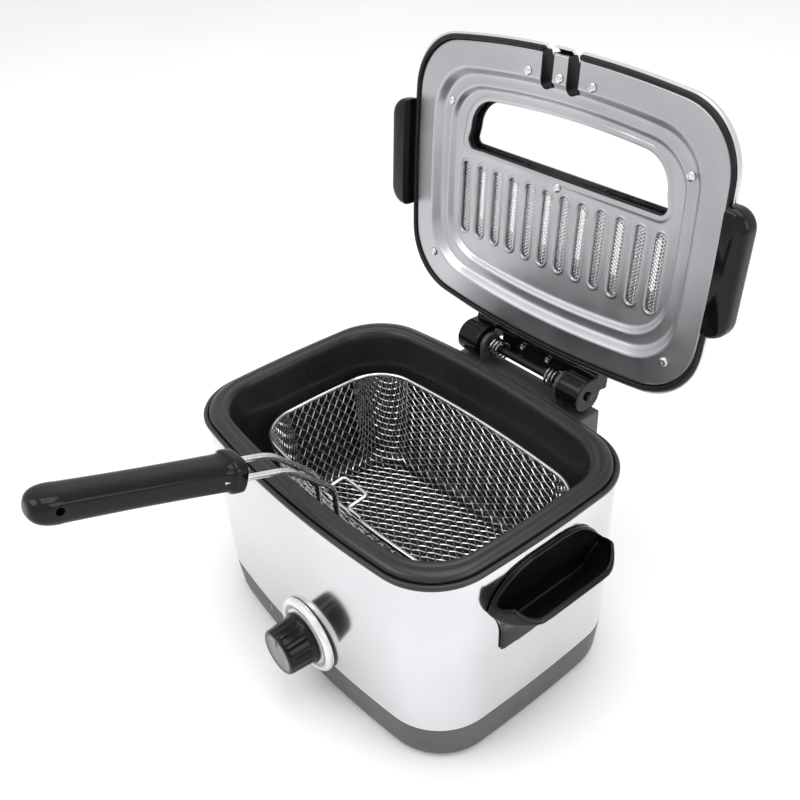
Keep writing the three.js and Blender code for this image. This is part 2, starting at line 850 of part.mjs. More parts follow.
const filterLow = panelLow + sheet + fitGap;
const filterHalfX = (slotCount * slotPitch) / 2 + 2;
add(
  "vent_filter",
  box(
    2 * filterHalfX,
    slotBack - slotFront + 8,
    1.2,
    0,
    (slotBack + slotFront) / 2 + 1,
    filterLow + 0.6,
  ),
  aluminium,
  opened,
);

const sealLow = panelLow + sheet + fitGap;
const glassLow = sealLow + 0.8 + fitGap;
const glassTop = glassLow + 3;
const sealTop = glassTop + fitGap + 0.8;
add(
  "window_seal",
  cut(
    prism(windowShape(4.2), sealLow, sealTop),
    prism(windowShape(-0.8), sealLow - 1, sealTop + 1),
    prism(windowShape(3 + fitGap), sealLow + 0.8, sealTop - 0.8),
  ),
  rubber,
  opened,
);
add("window_glass", prism(windowShape(3), glassLow, glassTop), glass, opened);

// Outside of the cover: a low rim, then a shallow dome. Each pair is rise above the seat and inset.
const coverOut = 2.5;
const coverSheet = 1.2;
const coverLine = [
  [1.6, -coverOut],
  [5.2, 0.2 - coverOut],
  [8, 0.6],
  [13, 7.6],
  [17, 15],
  [19.8, 23],
  [coverRise, 32],
];
function coverLevels(grow) {
  return coverLine.map(([rise, inset]) => [lidSeat + rise + grow, inset - grow]);
}
const vents = [];
for (let i = 0; i < slotCount; i += 2) {
  const x = (i - slotCount / 2 + 1) * slotPitch;
  const ventY = (slotBack + slotFront) / 2;
  vents.push(box(4, slotBack - slotFront - 16, 60, x, ventY, coverTop));
}
const cover = cut(
  layer(coverLevels(0)),
  layer([[lidSeat - over, coverSheet - coverOut], ...coverLevels(-coverSheet)]),
  prism(windowShape(-2), 0, 300),
  ...vents,
  notches(0, 300),
);
add("lid_cover", cover, steel, opened);

// Grips on the short sides of the lid.
const earLow = lidSeat - 8.3;
const earIn = lidHalfX + coverOut - 6;
const earOut = lidHalfX + coverOut + earDepth;
const earShape = new THREE.Shape();
const earCorner = 12;
earShape.moveTo(earIn, -earLength / 2);
earShape.lineTo(earOut - earCorner, -earLength / 2);
earShape.absarc(earOut - earCorner, -earLength / 2 + earCorner, earCorner, -Math.PI / 2, 0, false);
earShape.absarc(earOut - earCorner, earLength / 2 - earCorner, earCorner, 0, Math.PI / 2, false);
earShape.lineTo(earIn, earLength / 2);
earShape.closePath();
const earGeometry = new THREE.ExtrudeGeometry(earShape, {
  depth: earHeight - 6,
  bevelThickness: 3,
  bevelSize: 2.4,
  bevelOffset: -2.4,
  bevelSegments: 2,
  curveSegments: 4,
});
earGeometry.translate(0, lidShiftY - 3.3, earLow + 3);
const coverVolume = layer([
  [earLow - over, -coverOut - fitGap],
  ...coverLevels(fitGap),
  [coverTop + over, 32 - fitGap],
]);
const ear = cut(solid(earGeometry), coverVolume);
add("lid_ear_right", ear, blackGloss, opened);
add("lid_ear_left", ear.mirror([1, 0, 0]), blackGloss, opened);

// Hinge block on the lid's back edge: two knuckles, a bridge and a centre plate.
const knuckleIn = lugOut + 0.6;
const knuckleOut = 57;
const blockFront = lidShiftY + lidHalfY - 14;
const blockMiddle = (hingeY + blockFront) / 2;
let block = box(2 * knuckleOut, hingeY - blockFront, 12, 0, blockMiddle, lidSeat + 9.5);
for (const side of [-1, 1]) {
  const middle = (side * (knuckleIn + knuckleOut)) / 2;
  block = join(
    block,
    rod(
      v(side * knuckleIn, hingeY, hingeZ),
      v(side * knuckleOut, hingeY, hingeZ),
      knuckleRadius,
      28,
    ),
    box(
      knuckleOut - knuckleIn,
      knuckleRadius,
      16,
      middle,
      hingeY - knuckleRadius / 2,
      hingeZ + 7,
    ),
  );
}
block = cut(
  block,
  coverVolume,
  box(2 * knuckleIn, 40, 40, 0, hingeY + 10.5, hingeZ + 10),
  rod(
    v(-knuckleOut - 1, hingeY, hingeZ),
    v(knuckleOut + 1, hingeY, hingeZ),
    pinRadius + runGap,
    20,
  ),
);
// Plate over the springs; it stands behind them when the lid is open.
const shieldLow = hingeZ + 9.6;
const shieldHalf = lugIn - 0.4;
const shield = box(2 * shieldHalf, 22, 2.4, 0, hingeY - 1, shieldLow + 1.2);
add("lid_hinge_block", join(block, shield), blackMatte, opened);

// Screws on the underside of the plate.
for (const [name, side] of [["hinge_screw_left", -1], ["hinge_screw_right", 1]]) {
  const at = v(side * 12, hingeY - 4.5, shieldLow - fitGap);
  add(name, rod(at, at.clone().setZ(at.z - 1.6), 2.6, 12), chrome, opened);
}

// Torsion springs on the pin, between the lugs and the centre.
function spring(side) {
  const turns = 3;
  const pitch = 3;
  const meanRadius = 6.2;
  class Coil extends THREE.Curve {
    getPoint(t, target = new THREE.Vector3()) {
      const angle = t * turns * 2 * Math.PI;
      const x = side * (21.5 + t * turns * pitch);
      const y = hingeY + meanRadius * Math.sin(angle);
      const z = hingeZ - meanRadius * Math.cos(angle);
      return target.set(x, y, z);
    }
  }
  const section = new THREE.Shape();
  section.absarc(0, 0, 0.9, 0, 2 * Math.PI, false);
  return solid(new THREE.ExtrudeGeometry(section, {
    steps: turns * 10,
    curveSegments: 3,
    bevelEnabled: false,
    extrudePath: new Coil(),
  }));
}
add("torsion_spring_left", spring(-1), steel);
add("torsion_spring_right", spring(1), steel);

// Screws that hold the inner plate.
const frontRow = 15.2 - bodyHalfY;
const backRow = bodyHalfY - 27.2;
const sideColumn = bodyHalfX - 30.5;
const backColumn = bodyHalfX - 23;
const screwPlaces = [
  ["lid_screw_front_left", -25.5, frontRow, plateLow],
  ["lid_screw_front_middle", 0, frontRow, plateLow],
  ["lid_screw_front_right", 25.5, frontRow, plateLow],
  ["lid_screw_side_left", -sideColumn, windowFront + 10.3, bandLow],
  ["lid_screw_side_right", sideColumn, windowFront + 10.3, bandLow],
  ["lid_screw_centre", 0, windowBack + 5.6, panelLow],
  ["lid_screw_back_left", -backColumn, backRow, plateLow],
  ["lid_screw_back_right", backColumn, backRow, plateLow],
];
for (const [name, x, y, z] of screwPlaces) {
  const head = rod(v(x, y, z - fitGap), v(x, y, z - fitGap - screwHead), 3, 10, 2.4);
  add(name, head, chrome, opened);
}

// ---------------------------------------------------------------- frame: bottom centre
const bounds = new THREE.Box3().setFromObject(fryer);
const centre = bounds.getCenter(new THREE.Vector3());
for (const mesh of fryer.children) {
  mesh.geometry.translate(-centre.x, -centre.y, -bounds.min.z);
}

export default fryer;
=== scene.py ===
import math

import bmesh
import bpy
import numpy as np
from mathutils import Matrix, Vector
from mathutils.geometry import delaunay_2d_cdt


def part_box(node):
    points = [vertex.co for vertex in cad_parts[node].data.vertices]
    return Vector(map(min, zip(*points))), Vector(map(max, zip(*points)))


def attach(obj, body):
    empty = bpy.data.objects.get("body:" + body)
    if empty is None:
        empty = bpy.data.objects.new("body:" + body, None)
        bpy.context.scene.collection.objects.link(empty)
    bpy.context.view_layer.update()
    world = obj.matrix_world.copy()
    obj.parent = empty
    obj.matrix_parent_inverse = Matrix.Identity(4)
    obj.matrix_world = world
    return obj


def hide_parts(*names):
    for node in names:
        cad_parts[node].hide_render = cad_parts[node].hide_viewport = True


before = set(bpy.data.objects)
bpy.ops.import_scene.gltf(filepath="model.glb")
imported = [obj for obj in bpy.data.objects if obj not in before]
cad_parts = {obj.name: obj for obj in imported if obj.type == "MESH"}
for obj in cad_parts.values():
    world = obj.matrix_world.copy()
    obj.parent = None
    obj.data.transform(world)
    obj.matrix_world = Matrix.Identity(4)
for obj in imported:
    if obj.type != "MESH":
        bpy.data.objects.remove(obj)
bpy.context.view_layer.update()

MM = 0.001
collar_lo, collar_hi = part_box("top_collar")
BODY_Y = (collar_lo.y + collar_hi.y) / 2

# ------------------------------------------------------------------ sizes, in millimetres
HALF_X = collar_hi.x / MM
HALF_Y = (collar_hi.y - BODY_Y) / MM
CORNER = 42.0
BOW_X = 4.0
BOW_Y = 11.5
pot_lo, pot_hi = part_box("oil_pot")
RIM_TOP = pot_hi.z / MM
HOUSING_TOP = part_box("housing_shell")[1].z / MM
SKIRT_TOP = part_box("base_skirt")[1].z / MM
SKIRT_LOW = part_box("base_skirt")[0].z / MM
pin_lo, pin_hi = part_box("hinge_pin")
HINGE_Y = ((pin_lo.y + pin_hi.y) / 2 - BODY_Y) / MM
HINGE_Z = (pin_lo.z + pin_hi.z) / 2 / MM
OPEN = math.radians(95)
FIT_GAP = 0.3
SHEET = 1.2
RIM_INSET = 1.5
LID_SEAT = RIM_TOP + FIT_GAP
LID_OVERHANG = 1.6
LID_HALF_Y = HALF_Y + LID_OVERHANG
LID_SHIFT = 1.3


def P(x, y, z):
    """Point in frame metres from millimetres about the body's middle."""
    return Vector((x * MM, y * MM + BODY_Y, z * MM))


# The lid is made closed, then turned open about the pin.
LID_TURN = (
    Matrix.Translation(P(0, HINGE_Y, HINGE_Z))
    @ Matrix.Rotation(-OPEN, 4, "X")
    @ Matrix.Translation(-P(0, HINGE_Y, HINGE_Z))
)


def add_object(name, data):
    ob = bpy.data.objects.new(name, data)
    bpy.context.scene.collection.objects.link(ob)
    return ob


# ------------------------------------------------------------------ camera
LENS = 42.931
CAMERA_TARGET = P(-112.0, 87.3, 79.4)
CAMERA_DISTANCE = 0.76864


def aim_camera():
    azimuth = math.radians(52.4459)
    elevation = math.radians(35.16449)
    roll = math.radians(-3.573)
    level = math.cos(elevation)
    back = Vector(
        (math.sin(azimuth) * level, -math.cos(azimuth) * level, math.sin(elevation))
    )
    right = Vector((math.cos(azimuth), math.sin(azimuth), 0))
    up = back.cross(right)
    right_r = right * math.cos(roll) + up * math.sin(roll)
    up_r = up * math.cos(roll) - right * math.sin(roll)
    turn = Matrix((right_r, up_r, back)).transposed().to_4x4()
    data = bpy.data.cameras.new("camera")
    data.sensor_width = 36
    data.lens = LENS
    data.clip_start = 0.01
    cam = add_object("camera", data)
    cam.matrix_world = Matrix.Translation(CAMERA_TARGET + back * CAMERA_DISTANCE) @ turn
    bpy.context.scene.camera = cam


aim_camera()


# ------------------------------------------------------------------ node materials
def new_material(name):
    m = bpy.data.materials.new(name)
    m.use_nodes = True
    tree = m.node_tree
    tree.nodes.clear()
    out = tree.nodes.new("ShaderNodeOutputMaterial")
    shader = tree.nodes.new("ShaderNodeBsdfPrincipled")
    tree.links.new(shader.outputs[0], out.inputs[0])
    return m, tree, shader


def noise(tree, coords, scale, detail=3.0, stretch=None):
    source = coords
    if stretch:
        mapping = tree.nodes.new("ShaderNodeMapping")
        mapping.inputs["Scale"].default_value = stretch
        tree.links.new(coords, mapping.inputs[0])
        source = mapping.outputs[0]
    n = tree.nodes.new("ShaderNodeTexNoise")
    n.inputs["Scale"].default_value = scale
    n.inputs["Detail"].default_value = detail
    tree.links.new(source, n.inputs["Vector"])
    return n.outputs["Fac"]


def ramp(tree, fac, stops):
    """Blend between two (position, colour) stops."""
    r = tree.nodes.new("ShaderNodeValToRGB")
    for element, (position, colour) in zip(r.color_ramp.elements, stops):
        element.position = position
        element.color = (*colour, 1)
    tree.links.new(fac, r.inputs[0])
    return r.outputs[0]


def spread(tree, fac, low, high, from_low=0.3, from_high=0.7):
    """Noise value spread over a range."""
    r = tree.nodes.new("ShaderNodeMapRange")
    r.inputs["From Min"].default_value = from_low
    r.inputs["From Max"].default_value = from_high
    r.inputs["To Min"].default_value = low
    r.inputs["To Max"].default_value = high
    tree.links.new(fac, r.inputs[0])
    return r.outputs[0]


def bump(tree, shader, height, strength, distance):
    b = tree.nodes.new("ShaderNodeBump")
    b.inputs["Strength"].default_value = strength
    b.inputs["Distance"].default_value = distance
    tree.links.new(height, b.inputs["Height"])
    tree.links.new(b.outputs[0], shader.inputs["Normal"])


def finish_of(
    name,
    dark,
    light,
    metallic,
    rough,
    tone_scale=18,
    tone_stretch=None,
    rough_scale=60,
    grain_scale=900,
    grain=0.1,
    grain_depth=0.0002,
    grain_stretch=None,
    coat=0.0,
    specular=0.5,
    painted_edge_highlight=None,
):
    """Tone that drifts between two colours, roughness that varies, and a fine grain as bump."""
    m, tree, shader = new_material(name)
    coords = tree.nodes.new("ShaderNodeTexCoord").outputs["Object"]
    tone = noise(tree, coords, tone_scale, 4, tone_stretch)
    colour = ramp(tree, tone, [(0.32, dark), (0.68, light)])
    if painted_edge_highlight:
        # Edges and high spots, found from the surface's curvature, take a lighter tone, a painted
        # highlight.
        geo = tree.nodes.new("ShaderNodeNewGeometry")
        edge = spread(tree, geo.outputs["Pointiness"], 0, 1, 0.53, 0.6)
        mix = tree.nodes.new("ShaderNodeMix")
        mix.data_type = "RGBA"
        tree.links.new(edge, mix.inputs["Factor"])
        tree.links.new(colour, mix.inputs["A"])
        mix.inputs["B"].default_value = (*painted_edge_highlight, 1)
        colour = mix.outputs["Result"]
    tree.links.new(colour, shader.inputs["Base Color"])
    patch = noise(tree, coords, rough_scale, 3, tone_stretch)
    tree.links.new(spread(tree, patch, rough[0], rough[1]), shader.inputs["Roughness"])
    fine = noise(tree, coords, grain_scale, 2, grain_stretch)
    bump(tree, shader, fine, grain, grain_depth)
    shader.inputs["Metallic"].default_value = metallic
    shader.inputs["Specular IOR Level"].default_value = specular
    if coat:
        shader.inputs["Coat Weight"].default_value = coat
        shader.inputs["Coat Roughness"].default_value = 0.05
    return m


def grey(v, blue=0.0):
    """Grey tone with a share more blue."""
    return (v, v, v * (1 + blue))


M = {}
M["steel"] = finish_of(
    "housing_steel", grey(0.62, 0.03), grey(0.71, 0.035), 1.0, (0.10, 0.17), tone_scale=9,
    rough_scale=14, grain_scale=240, grain=0.03, grain_stretch=(0.05, 0.05, 3.0),
    grain_depth=0.0003,
)
M["lid_steel"] = finish_of(
    "lid_cover_steel", grey(0.70, 0.02), grey(0.80, 0.02), 1.0, (0.22, 0.32), tone_scale=9,
    rough_scale=20, grain_scale=300, grain=0.04, grain_stretch=(0.05, 3.0, 3.0), grain_depth=0.0003,
)
M["chrome"] = finish_of(
    "chromed_wire", grey(0.62), grey(0.80), 1.0, (0.10, 0.22), tone_scale=120, rough_scale=300,
    grain_scale=1500, grain=0.05,
)
M["mesh_wire"] = finish_of(
    "basket_wire", grey(0.46), grey(0.74), 1.0, (0.16, 0.34), tone_scale=160, rough_scale=300,
    grain_scale=1500, grain=0.05,
)
M["plate"] = finish_of(
    "lid_plate_aluminium", grey(0.44, 0.05), grey(0.54, 0.055), 1.0, (0.30, 0.42), tone_scale=9,
    rough_scale=40, grain_scale=1900, grain=0.28, grain_depth=0.00016,
)
M["filter"] = finish_of(
    "filter_mesh_aluminium", grey(0.72), grey(0.92), 1.0, (0.25, 0.4), tone_scale=400,
    rough_scale=500, grain_scale=1500, grain=0.05,
)
# The non-stick coat's lighter edges and high spots are a painted highlight.
M["non_stick"] = finish_of(
    "non_stick_coating", grey(0.010), grey(0.017), 0.0, (0.27, 0.38), tone_scale=14,
    rough_scale=30, grain_scale=1100, grain=0.22, grain_depth=0.00022, specular=0.42,
    painted_edge_highlight=grey(0.045),
)
M["gloss"] = finish_of(
    "black_gloss_plastic", grey(0.0035), grey(0.006), 0.0, (0.08, 0.15), tone_scale=30,
    rough_scale=25, grain_scale=500, grain=0.015, specular=0.24,
)
M["matte"] = finish_of(
    "black_matte_plastic", grey(0.004), grey(0.008), 0.0, (0.26, 0.38), tone_scale=60,
    rough_scale=80, grain_scale=1400, grain=0.12, specular=0.25,
)
M["grey"] = finish_of(
    "grey_skirt_plastic", grey(0.060), grey(0.078), 0.0, (0.42, 0.52), tone_scale=20,
    rough_scale=60, grain_scale=1300, grain=0.22,
)
M["bracket"] = finish_of(
    "hinge_bracket_plastic", grey(0.040), grey(0.060), 0.0, (0.38, 0.5), tone_scale=30,
    rough_scale=60, grain_scale=1300, grain=0.2,
)
M["rubber"] = finish_of(
    "black_rubber", grey(0.004), grey(0.009), 0.0, (0.38, 0.5), tone_scale=80,
    rough_scale=120, grain_scale=1500, grain=0.15, specular=0.3,
)
M["dial"] = finish_of(
    "dial_silver", grey(0.78), grey(0.86), 0.35, (0.18, 0.26), tone_scale=70,
    rough_scale=90, grain_scale=900, grain=0.03,
)
M["handle_wire"] = finish_of(
    "handle_wire_chrome", grey(0.74), grey(0.88), 1.0, (0.20, 0.32), tone_scale=120,
    rough_scale=300, grain_scale=1500, grain=0.05,
)
M["spring"] = finish_of(
    "spring_steel", grey(0.20), grey(0.34), 1.0, (0.12, 0.24), tone_scale=200, rough_scale=300,
    grain_scale=1500, grain=0.05,
)
# Knob front face: the plastic's own dark grey, made lighter by a painted sheen.
M["knob_face"] = finish_of(
    "knob_plastic_painted_sheen", grey(0.075), grey(0.11), 0.0, (0.20, 0.28), tone_scale=60,
    rough_scale=60, grain_scale=900, grain=0.04, coat=0.2,
)
M["dial_face"] = finish_of(
    "dial_face_print", grey(0.40), grey(0.50), 0.3, (0.25, 0.35), tone_scale=90,
    rough_scale=90, grain_scale=900, grain=0.04,
)
M["ink"] = finish_of(
    "dial_tick_ink", grey(0.01), grey(0.02), 0.0, (0.4, 0.5), tone_scale=200, grain_scale=1500,
)
M["lamp"] = finish_of(
    "lamp_lens", (0.06, 0.012, 0.006), (0.10, 0.02, 0.008), 0.0, (0.1, 0.2), tone_scale=200,
    coat=0.4,
)


def glass_material():
    m, tree, shader = new_material("clear_glass")
    coords = tree.nodes.new("ShaderNodeTexCoord").outputs["Object"]
    haze = noise(tree, coords, 40, 3)
    colour = ramp(tree, haze, [(0.3, (0.985, 0.995, 0.992)), (0.7, (1, 1, 1))])
    tree.links.new(colour, shader.inputs["Base Color"])
    tree.links.new(spread(tree, haze, 0.0, 0.02), shader.inputs["Roughness"])
    shader.inputs["Transmission Weight"].default_value = 1.0
    shader.inputs["IOR"].default_value = 1.06
    return m


M["glass"] = glass_material()


# ------------------------------------------------------------------ mesh helpers
WELD = 1e-7


def clean_mesh(name, shape, turn=None):
    """Mesh from (verts, faces) in frame metres: doubles welded, no loose points, faces outward."""
    verts, faces = shape
    me = bpy.data.meshes.new(name)
    me.from_pydata([tuple(v) for v in verts], [], faces)
    me.validate()
    bm = bmesh.new()
    bm.from_mesh(me)
    bmesh.ops.remove_doubles(bm, verts=bm.verts, dist=WELD)
    loose = [v for v in bm.verts if not v.link_faces]
    bmesh.ops.delete(bm, geom=loose, context="VERTS")
    bmesh.ops.recalc_face_normals(bm, faces=bm.faces)
    if turn is not None:
        bmesh.ops.transform(bm, matrix=turn, verts=bm.verts)
    bm.to_mesh(me)
    bm.free()
    return me


def make(name, shape, material, body, node=None, sharp=35, turn=None):
    """Finished piece from a shape, shaded smooth with creases kept."""
    return place(clean_mesh(name, shape, turn), name, material, body, node, sharp)


def place(me, name, material, body, node=None, sharp=35):
    me.materials.clear()
    me.materials.append(material)
    me.shade_smooth()
    me.set_sharp_from_angle(angle=math.radians(sharp))
    ob = add_object(name, me)
    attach(ob, body)
    if node:
        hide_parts(node)
    return ob


def settle(ob):
    """Applies an object's modifiers to its mesh."""
    bpy.context.view_layer.update()
    graph = bpy.context.evaluated_depsgraph_get()
    me = bpy.data.meshes.new_from_object(ob.evaluated_get(graph))
    ob.modifiers.clear()
    old = ob.data
    ob.data = me
    bpy.data.meshes.remove(old)
    return ob


def raw(name, shape):
    """Working object from a shape, for booleans."""
    return add_object(name, clean_mesh(name, shape))


def boolean(ob, tools):
    """Cuts each tool from the object and deletes the tool."""
    for tool in tools:
        mod = ob.modifiers.new("cut", "BOOLEAN")
        mod.operation = "DIFFERENCE"
        mod.solver = "EXACT"
        mod.object = tool
        settle(ob)
        me = tool.data
        bpy.data.objects.remove(tool)
        bpy.data.meshes.remove(me)
    return ob


def soften(ob, voxel, rounds):
    """Rounds a solid's edges: an even remesh, then smoothing."""
    mod = ob.modifiers.new("remesh", "REMESH")
    mod.mode = "VOXEL"
    mod.voxel_size = voxel * MM
    mod.use_smooth_shade = True
    mod = ob.modifiers.new("smooth", "SMOOTH")
    mod.factor = 0.5
    mod.iterations = rounds
    return settle(ob)


def adopt(ob, name, material, body, node=None, sharp=35, turn=None):
    """Turns a working object into a finished piece."""
    me = ob.data.copy()
    old = ob.data
    bpy.data.objects.remove(ob)
    bpy.data.meshes.remove(old)
    if turn is not None:
        me.transform(turn)
    return place(me, name, material, body, node, sharp)


def outline(half_x, half_y, corner, bow_x, bow_y, per=(10, 18, 14)):
    """Rounded rectangle whose four sides are shallow arcs, tangent to its corner arcs."""
    rx = (half_y * half_y + bow_x * bow_x) / (2 * bow_x)
    ry = (half_x * half_x + bow_y * bow_y) / (2 * bow_y)
    cx = np.array([half_x - rx, 0.0])
    cy = np.array([0.0, half_y - ry])
    reach_x, reach_y = rx - corner, ry - corner
    span = np.linalg.norm(cy - cx)
    along = (reach_x**2 - reach_y**2 + span**2) / (2 * span)
    aside = math.sqrt(max(reach_x**2 - along**2, 0))
    ahead = (cy - cx) / span
    side = np.array([ahead[1], -ahead[0]])
    centre = cx + ahead * along + side * aside
    if centre[0] < 0 or centre[1] < 0:
        centre = cx + ahead * along - side * aside
    to_x = math.atan2(centre[1] - cx[1], centre[0] - cx[0])
    to_y = math.atan2(centre[1] - cy[1], centre[0] - cy[0])
    quarter = []
    for i in range(per[0]):
        a = to_x * i / per[0]
        quarter.append((cx[0] + rx * math.cos(a), cx[1] + rx * math.sin(a)))
    for i in range(per[1]):
        a = to_x + (to_y - to_x) * i / per[1]
        quarter.append((centre[0] + corner * math.cos(a), centre[1] + corner * math.sin(a)))
    for i in range(per[2] + 1):
        a = to_y + (math.pi / 2 - to_y) * i / per[2]
        quarter.append((cy[0] + ry * math.cos(a), cy[1] + ry * math.sin(a)))
    pts = list(quarter)
    pts += [(-x, y) for x, y in reversed(quarter[:-1])]
    pts += [(-x, -y) for x, y in quarter[1:]]
    pts += [(x, -y) for x, y in reversed(quarter[1:-1])]
    return np.array(pts)


def ring(base, z, inset, shift_y=0.0):
    """The outline at a height, drawn in by an inset in its own scaling."""
    hx, hy = base[:, 0].max(), base[:, 1].max()
    scaled = base * np.array([(hx - inset) / hx, (hy - inset) / hy])
    return [(x, y + shift_y, z) for x, y in scaled]


def loft(rings, closed=False, cap_first=False, cap_last=False):
    """Shape, as verts in frame metres and faces, through rings of equal count."""
    n = len(rings[0])
    verts = [P(*p) for r in rings for p in r]
    faces = []
    count = len(rings)
    for k in range(count if closed else count - 1):
        a, b = k * n, ((k + 1) % count) * n
        for i in range(n):
            j = (i + 1) % n
            faces.append((a + i, a + j, b + j, b + i))
    for want, k in ((cap_first, 0), (cap_last, count - 1)):
        if want:
            centre = sum((Vector(verts[k * n + i]) for i in range(n)), Vector()) / n
            verts.append(centre)
            c = len(verts) - 1
            for i in range(n):
                faces.append((k * n + i, k * n + (i + 1) % n, c))
    return verts, faces


def stack(base, levels, shift_y=0.0, **how):
    """Solid or skin through (height, inset) levels of an outline."""
    return loft([ring(base, z, inset, shift_y) for z, inset in levels], **how)


CUT_LOW, CUT_HIGH = 100, 300


def prism(points, low=CUT_LOW, high=CUT_HIGH):
    """Upright solid over a flat outline; the default height cuts through the closed lid."""
    n = len(points)
    verts = [P(x, y, low) for x, y in points] + [P(x, y, high) for x, y in points]
    faces = [tuple(range(n))[::-1], tuple(range(n, 2 * n))]
    faces += [(i, (i + 1) % n, n + (i + 1) % n, n + i) for i in range(n)]
    return verts, faces


def block(x0, x1, y0, y1, z0=CUT_LOW, z1=CUT_HIGH):
    return prism([(x0, y0), (x1, y0), (x1, y1), (x0, y1)], z0, z1)


def tube(points, radius, sides=10, closed=False, flat=None, seat=None):
    """Wire along points in millimetres. flat squashes the section, seat is its steady side."""
    pts = [Vector(p) for p in points]
    n = len(pts)
    verts, faces = [], []
    normal = None
    for i, p in enumerate(pts):
        if closed:
            t = (pts[(i + 1) % n] - pts[i - 1]).normalized()
        else:
            t = (pts[min(i + 1, n - 1)] - pts[max(i - 1, 0)]).normalized()
        if seat is not None:
            normal = Vector(seat[i])
            normal = (normal - t * normal.dot(t)).normalized()
        elif normal is None:
            normal = t.cross(Vector((0.12, 0.2, 1.0))).normalized()
        else:
            normal = (normal - t * normal.dot(t)).normalized()
        side = t.cross(normal)
        for k in range(sides):
            a = 2 * math.pi * (k + 0.5) / sides
            up = radius * (flat or 1.0) * math.cos(a)
            q = p + normal * up + side * radius * math.sin(a)
            verts.append(P(*q))
    for i in range(n if closed else n - 1):
        a, b = i * sides, ((i + 1) % n) * sides
        for k in range(sides):
            j = (k + 1) % sides
            faces.append((a + k, a + j, b + j, b + k))
    if not closed:
        faces.append(tuple(range(sides))[::-1])
        faces.append(tuple((n - 1) * sides + k for k in range(sides)))
    return verts, faces


def eased(corners, bend, steps=8, straight=2.0):
    """Path through corner points, each corner eased by a bend, as even points."""
    corners = [Vector(c) for c in corners]
    out = []

    def line(a, b):
        count = max(1, int((b - a).length / straight))
        for i in range(count):
            out.append(a.lerp(b, i / count))

    start = corners[0]
    for i in range(1, len(corners) - 1):
        before = corners[i] - corners[i - 1]
        after = corners[i + 1] - corners[i]
        ease = min(bend, before.length * 0.48, after.length * 0.48)
        entry = corners[i] - before.normalized() * ease
        leave = corners[i] + after.normalized() * ease
        line(start, entry)
        for k in range(steps):
            t = k / steps
            out.append(entry * (1 - t) ** 2 + corners[i] * 2 * t * (1 - t) + leave * t * t)
        start = leave
    line(start, corners[-1])
    out.append(corners[-1])
    return out


FLUTE_SHARPNESS = 0.3


def lathe(profile, segments, place_at, flutes=0, depth=0.0, flute_range=(0, 0)):
    """Turned form about the y axis. profile holds (radius, along), along growing forward (-y)."""
    px, py, pz = place_at
    rings = []
    for radius, along in profile:
        fluted = flutes and flute_range[0] <= along <= flute_range[1]
        pts = []
        for i in range(segments):
            a = 2 * math.pi * i / segments
            r = radius
            if fluted:
                r -= depth * (1 - abs(math.cos(a * flutes / 2)) ** FLUTE_SHARPNESS)
            pts.append((px + r * math.cos(a), py - along, pz + r * math.sin(a)))
        rings.append(pts)
    return rings


def circle(count):
    """Unit circle as (cosine, sine) pairs."""
    turns = [2 * math.pi * i / count for i in range(count)]
    return [(math.cos(a), math.sin(a)) for a in turns]


def squared(count, power):
    """Unit circle pushed out towards a square."""
    return [
        (math.copysign(abs(c) ** power, c), math.copysign(abs(s) ** power, s))
        for c, s in circle(count)
    ]


def turned(x, y, steps, count):
    """Rings about an upright axis through (radius, height) steps."""
    return [[(x + r * c, y + r * s, z) for c, s in circle(count)] for r, z in steps]


def quarter_arc(x, y, radius, start, count):
    """Points of a quarter turn from an angle on."""
    turns = [start + math.pi / 2 * i / count for i in range(count + 1)]
    return [(x + radius * math.cos(a), y + radius * math.sin(a)) for a in turns]


def mirrored_pair(ob):
    """The object's mesh and its mirror image in x; the object is removed."""
    right, left = ob.data.copy(), ob.data.copy()
    bpy.data.objects.remove(ob)
    left.transform(Matrix.Scale(-1, 4, (1, 0, 0)))
    left.flip_normals()
    return (("right", right), ("left", left))


def merged(parts):
    """Several shapes as one."""
    verts, faces = [], []
    for v, f in parts:
        base = len(verts)
        verts += list(v)
        faces += [tuple(base + i for i in face) for face in f]
    return verts, faces


def rounded(points, radii, steps=6):
    """Closed or open profile in 2-D whose inner corners are rounded."""
    out = [points[0]]
    for i in range(1, len(points) - 1):
        a, b, c = (np.array(points[k], float) for k in (i - 1, i, i + 1))
        r = radii[i] if isinstance(radii, (list, tuple)) else radii
        la, lc = np.linalg.norm(a - b), np.linalg.norm(c - b)
        r = min(r, la * 0.48, lc * 0.48)
        p, q = b + (a - b) / la * r, b + (c - b) / lc * r
        for k in range(steps + 1):
            t = k / steps
            out.append(tuple(p * (1 - t) ** 2 + b * 2 * t * (1 - t) + q * t * t))
    out.append(points[-1])
    return out


PLAN = outline(HALF_X, HALF_Y, CORNER, BOW_X, BOW_Y)


TAPER = 1.3


def wall_inset(z):
    """How far the tapered housing wall stands in from the rim's outline at a height."""
    share = (HOUSING_TOP - z) / (HOUSING_TOP - SKIRT_TOP)
    return RIM_INSET + TAPER * share


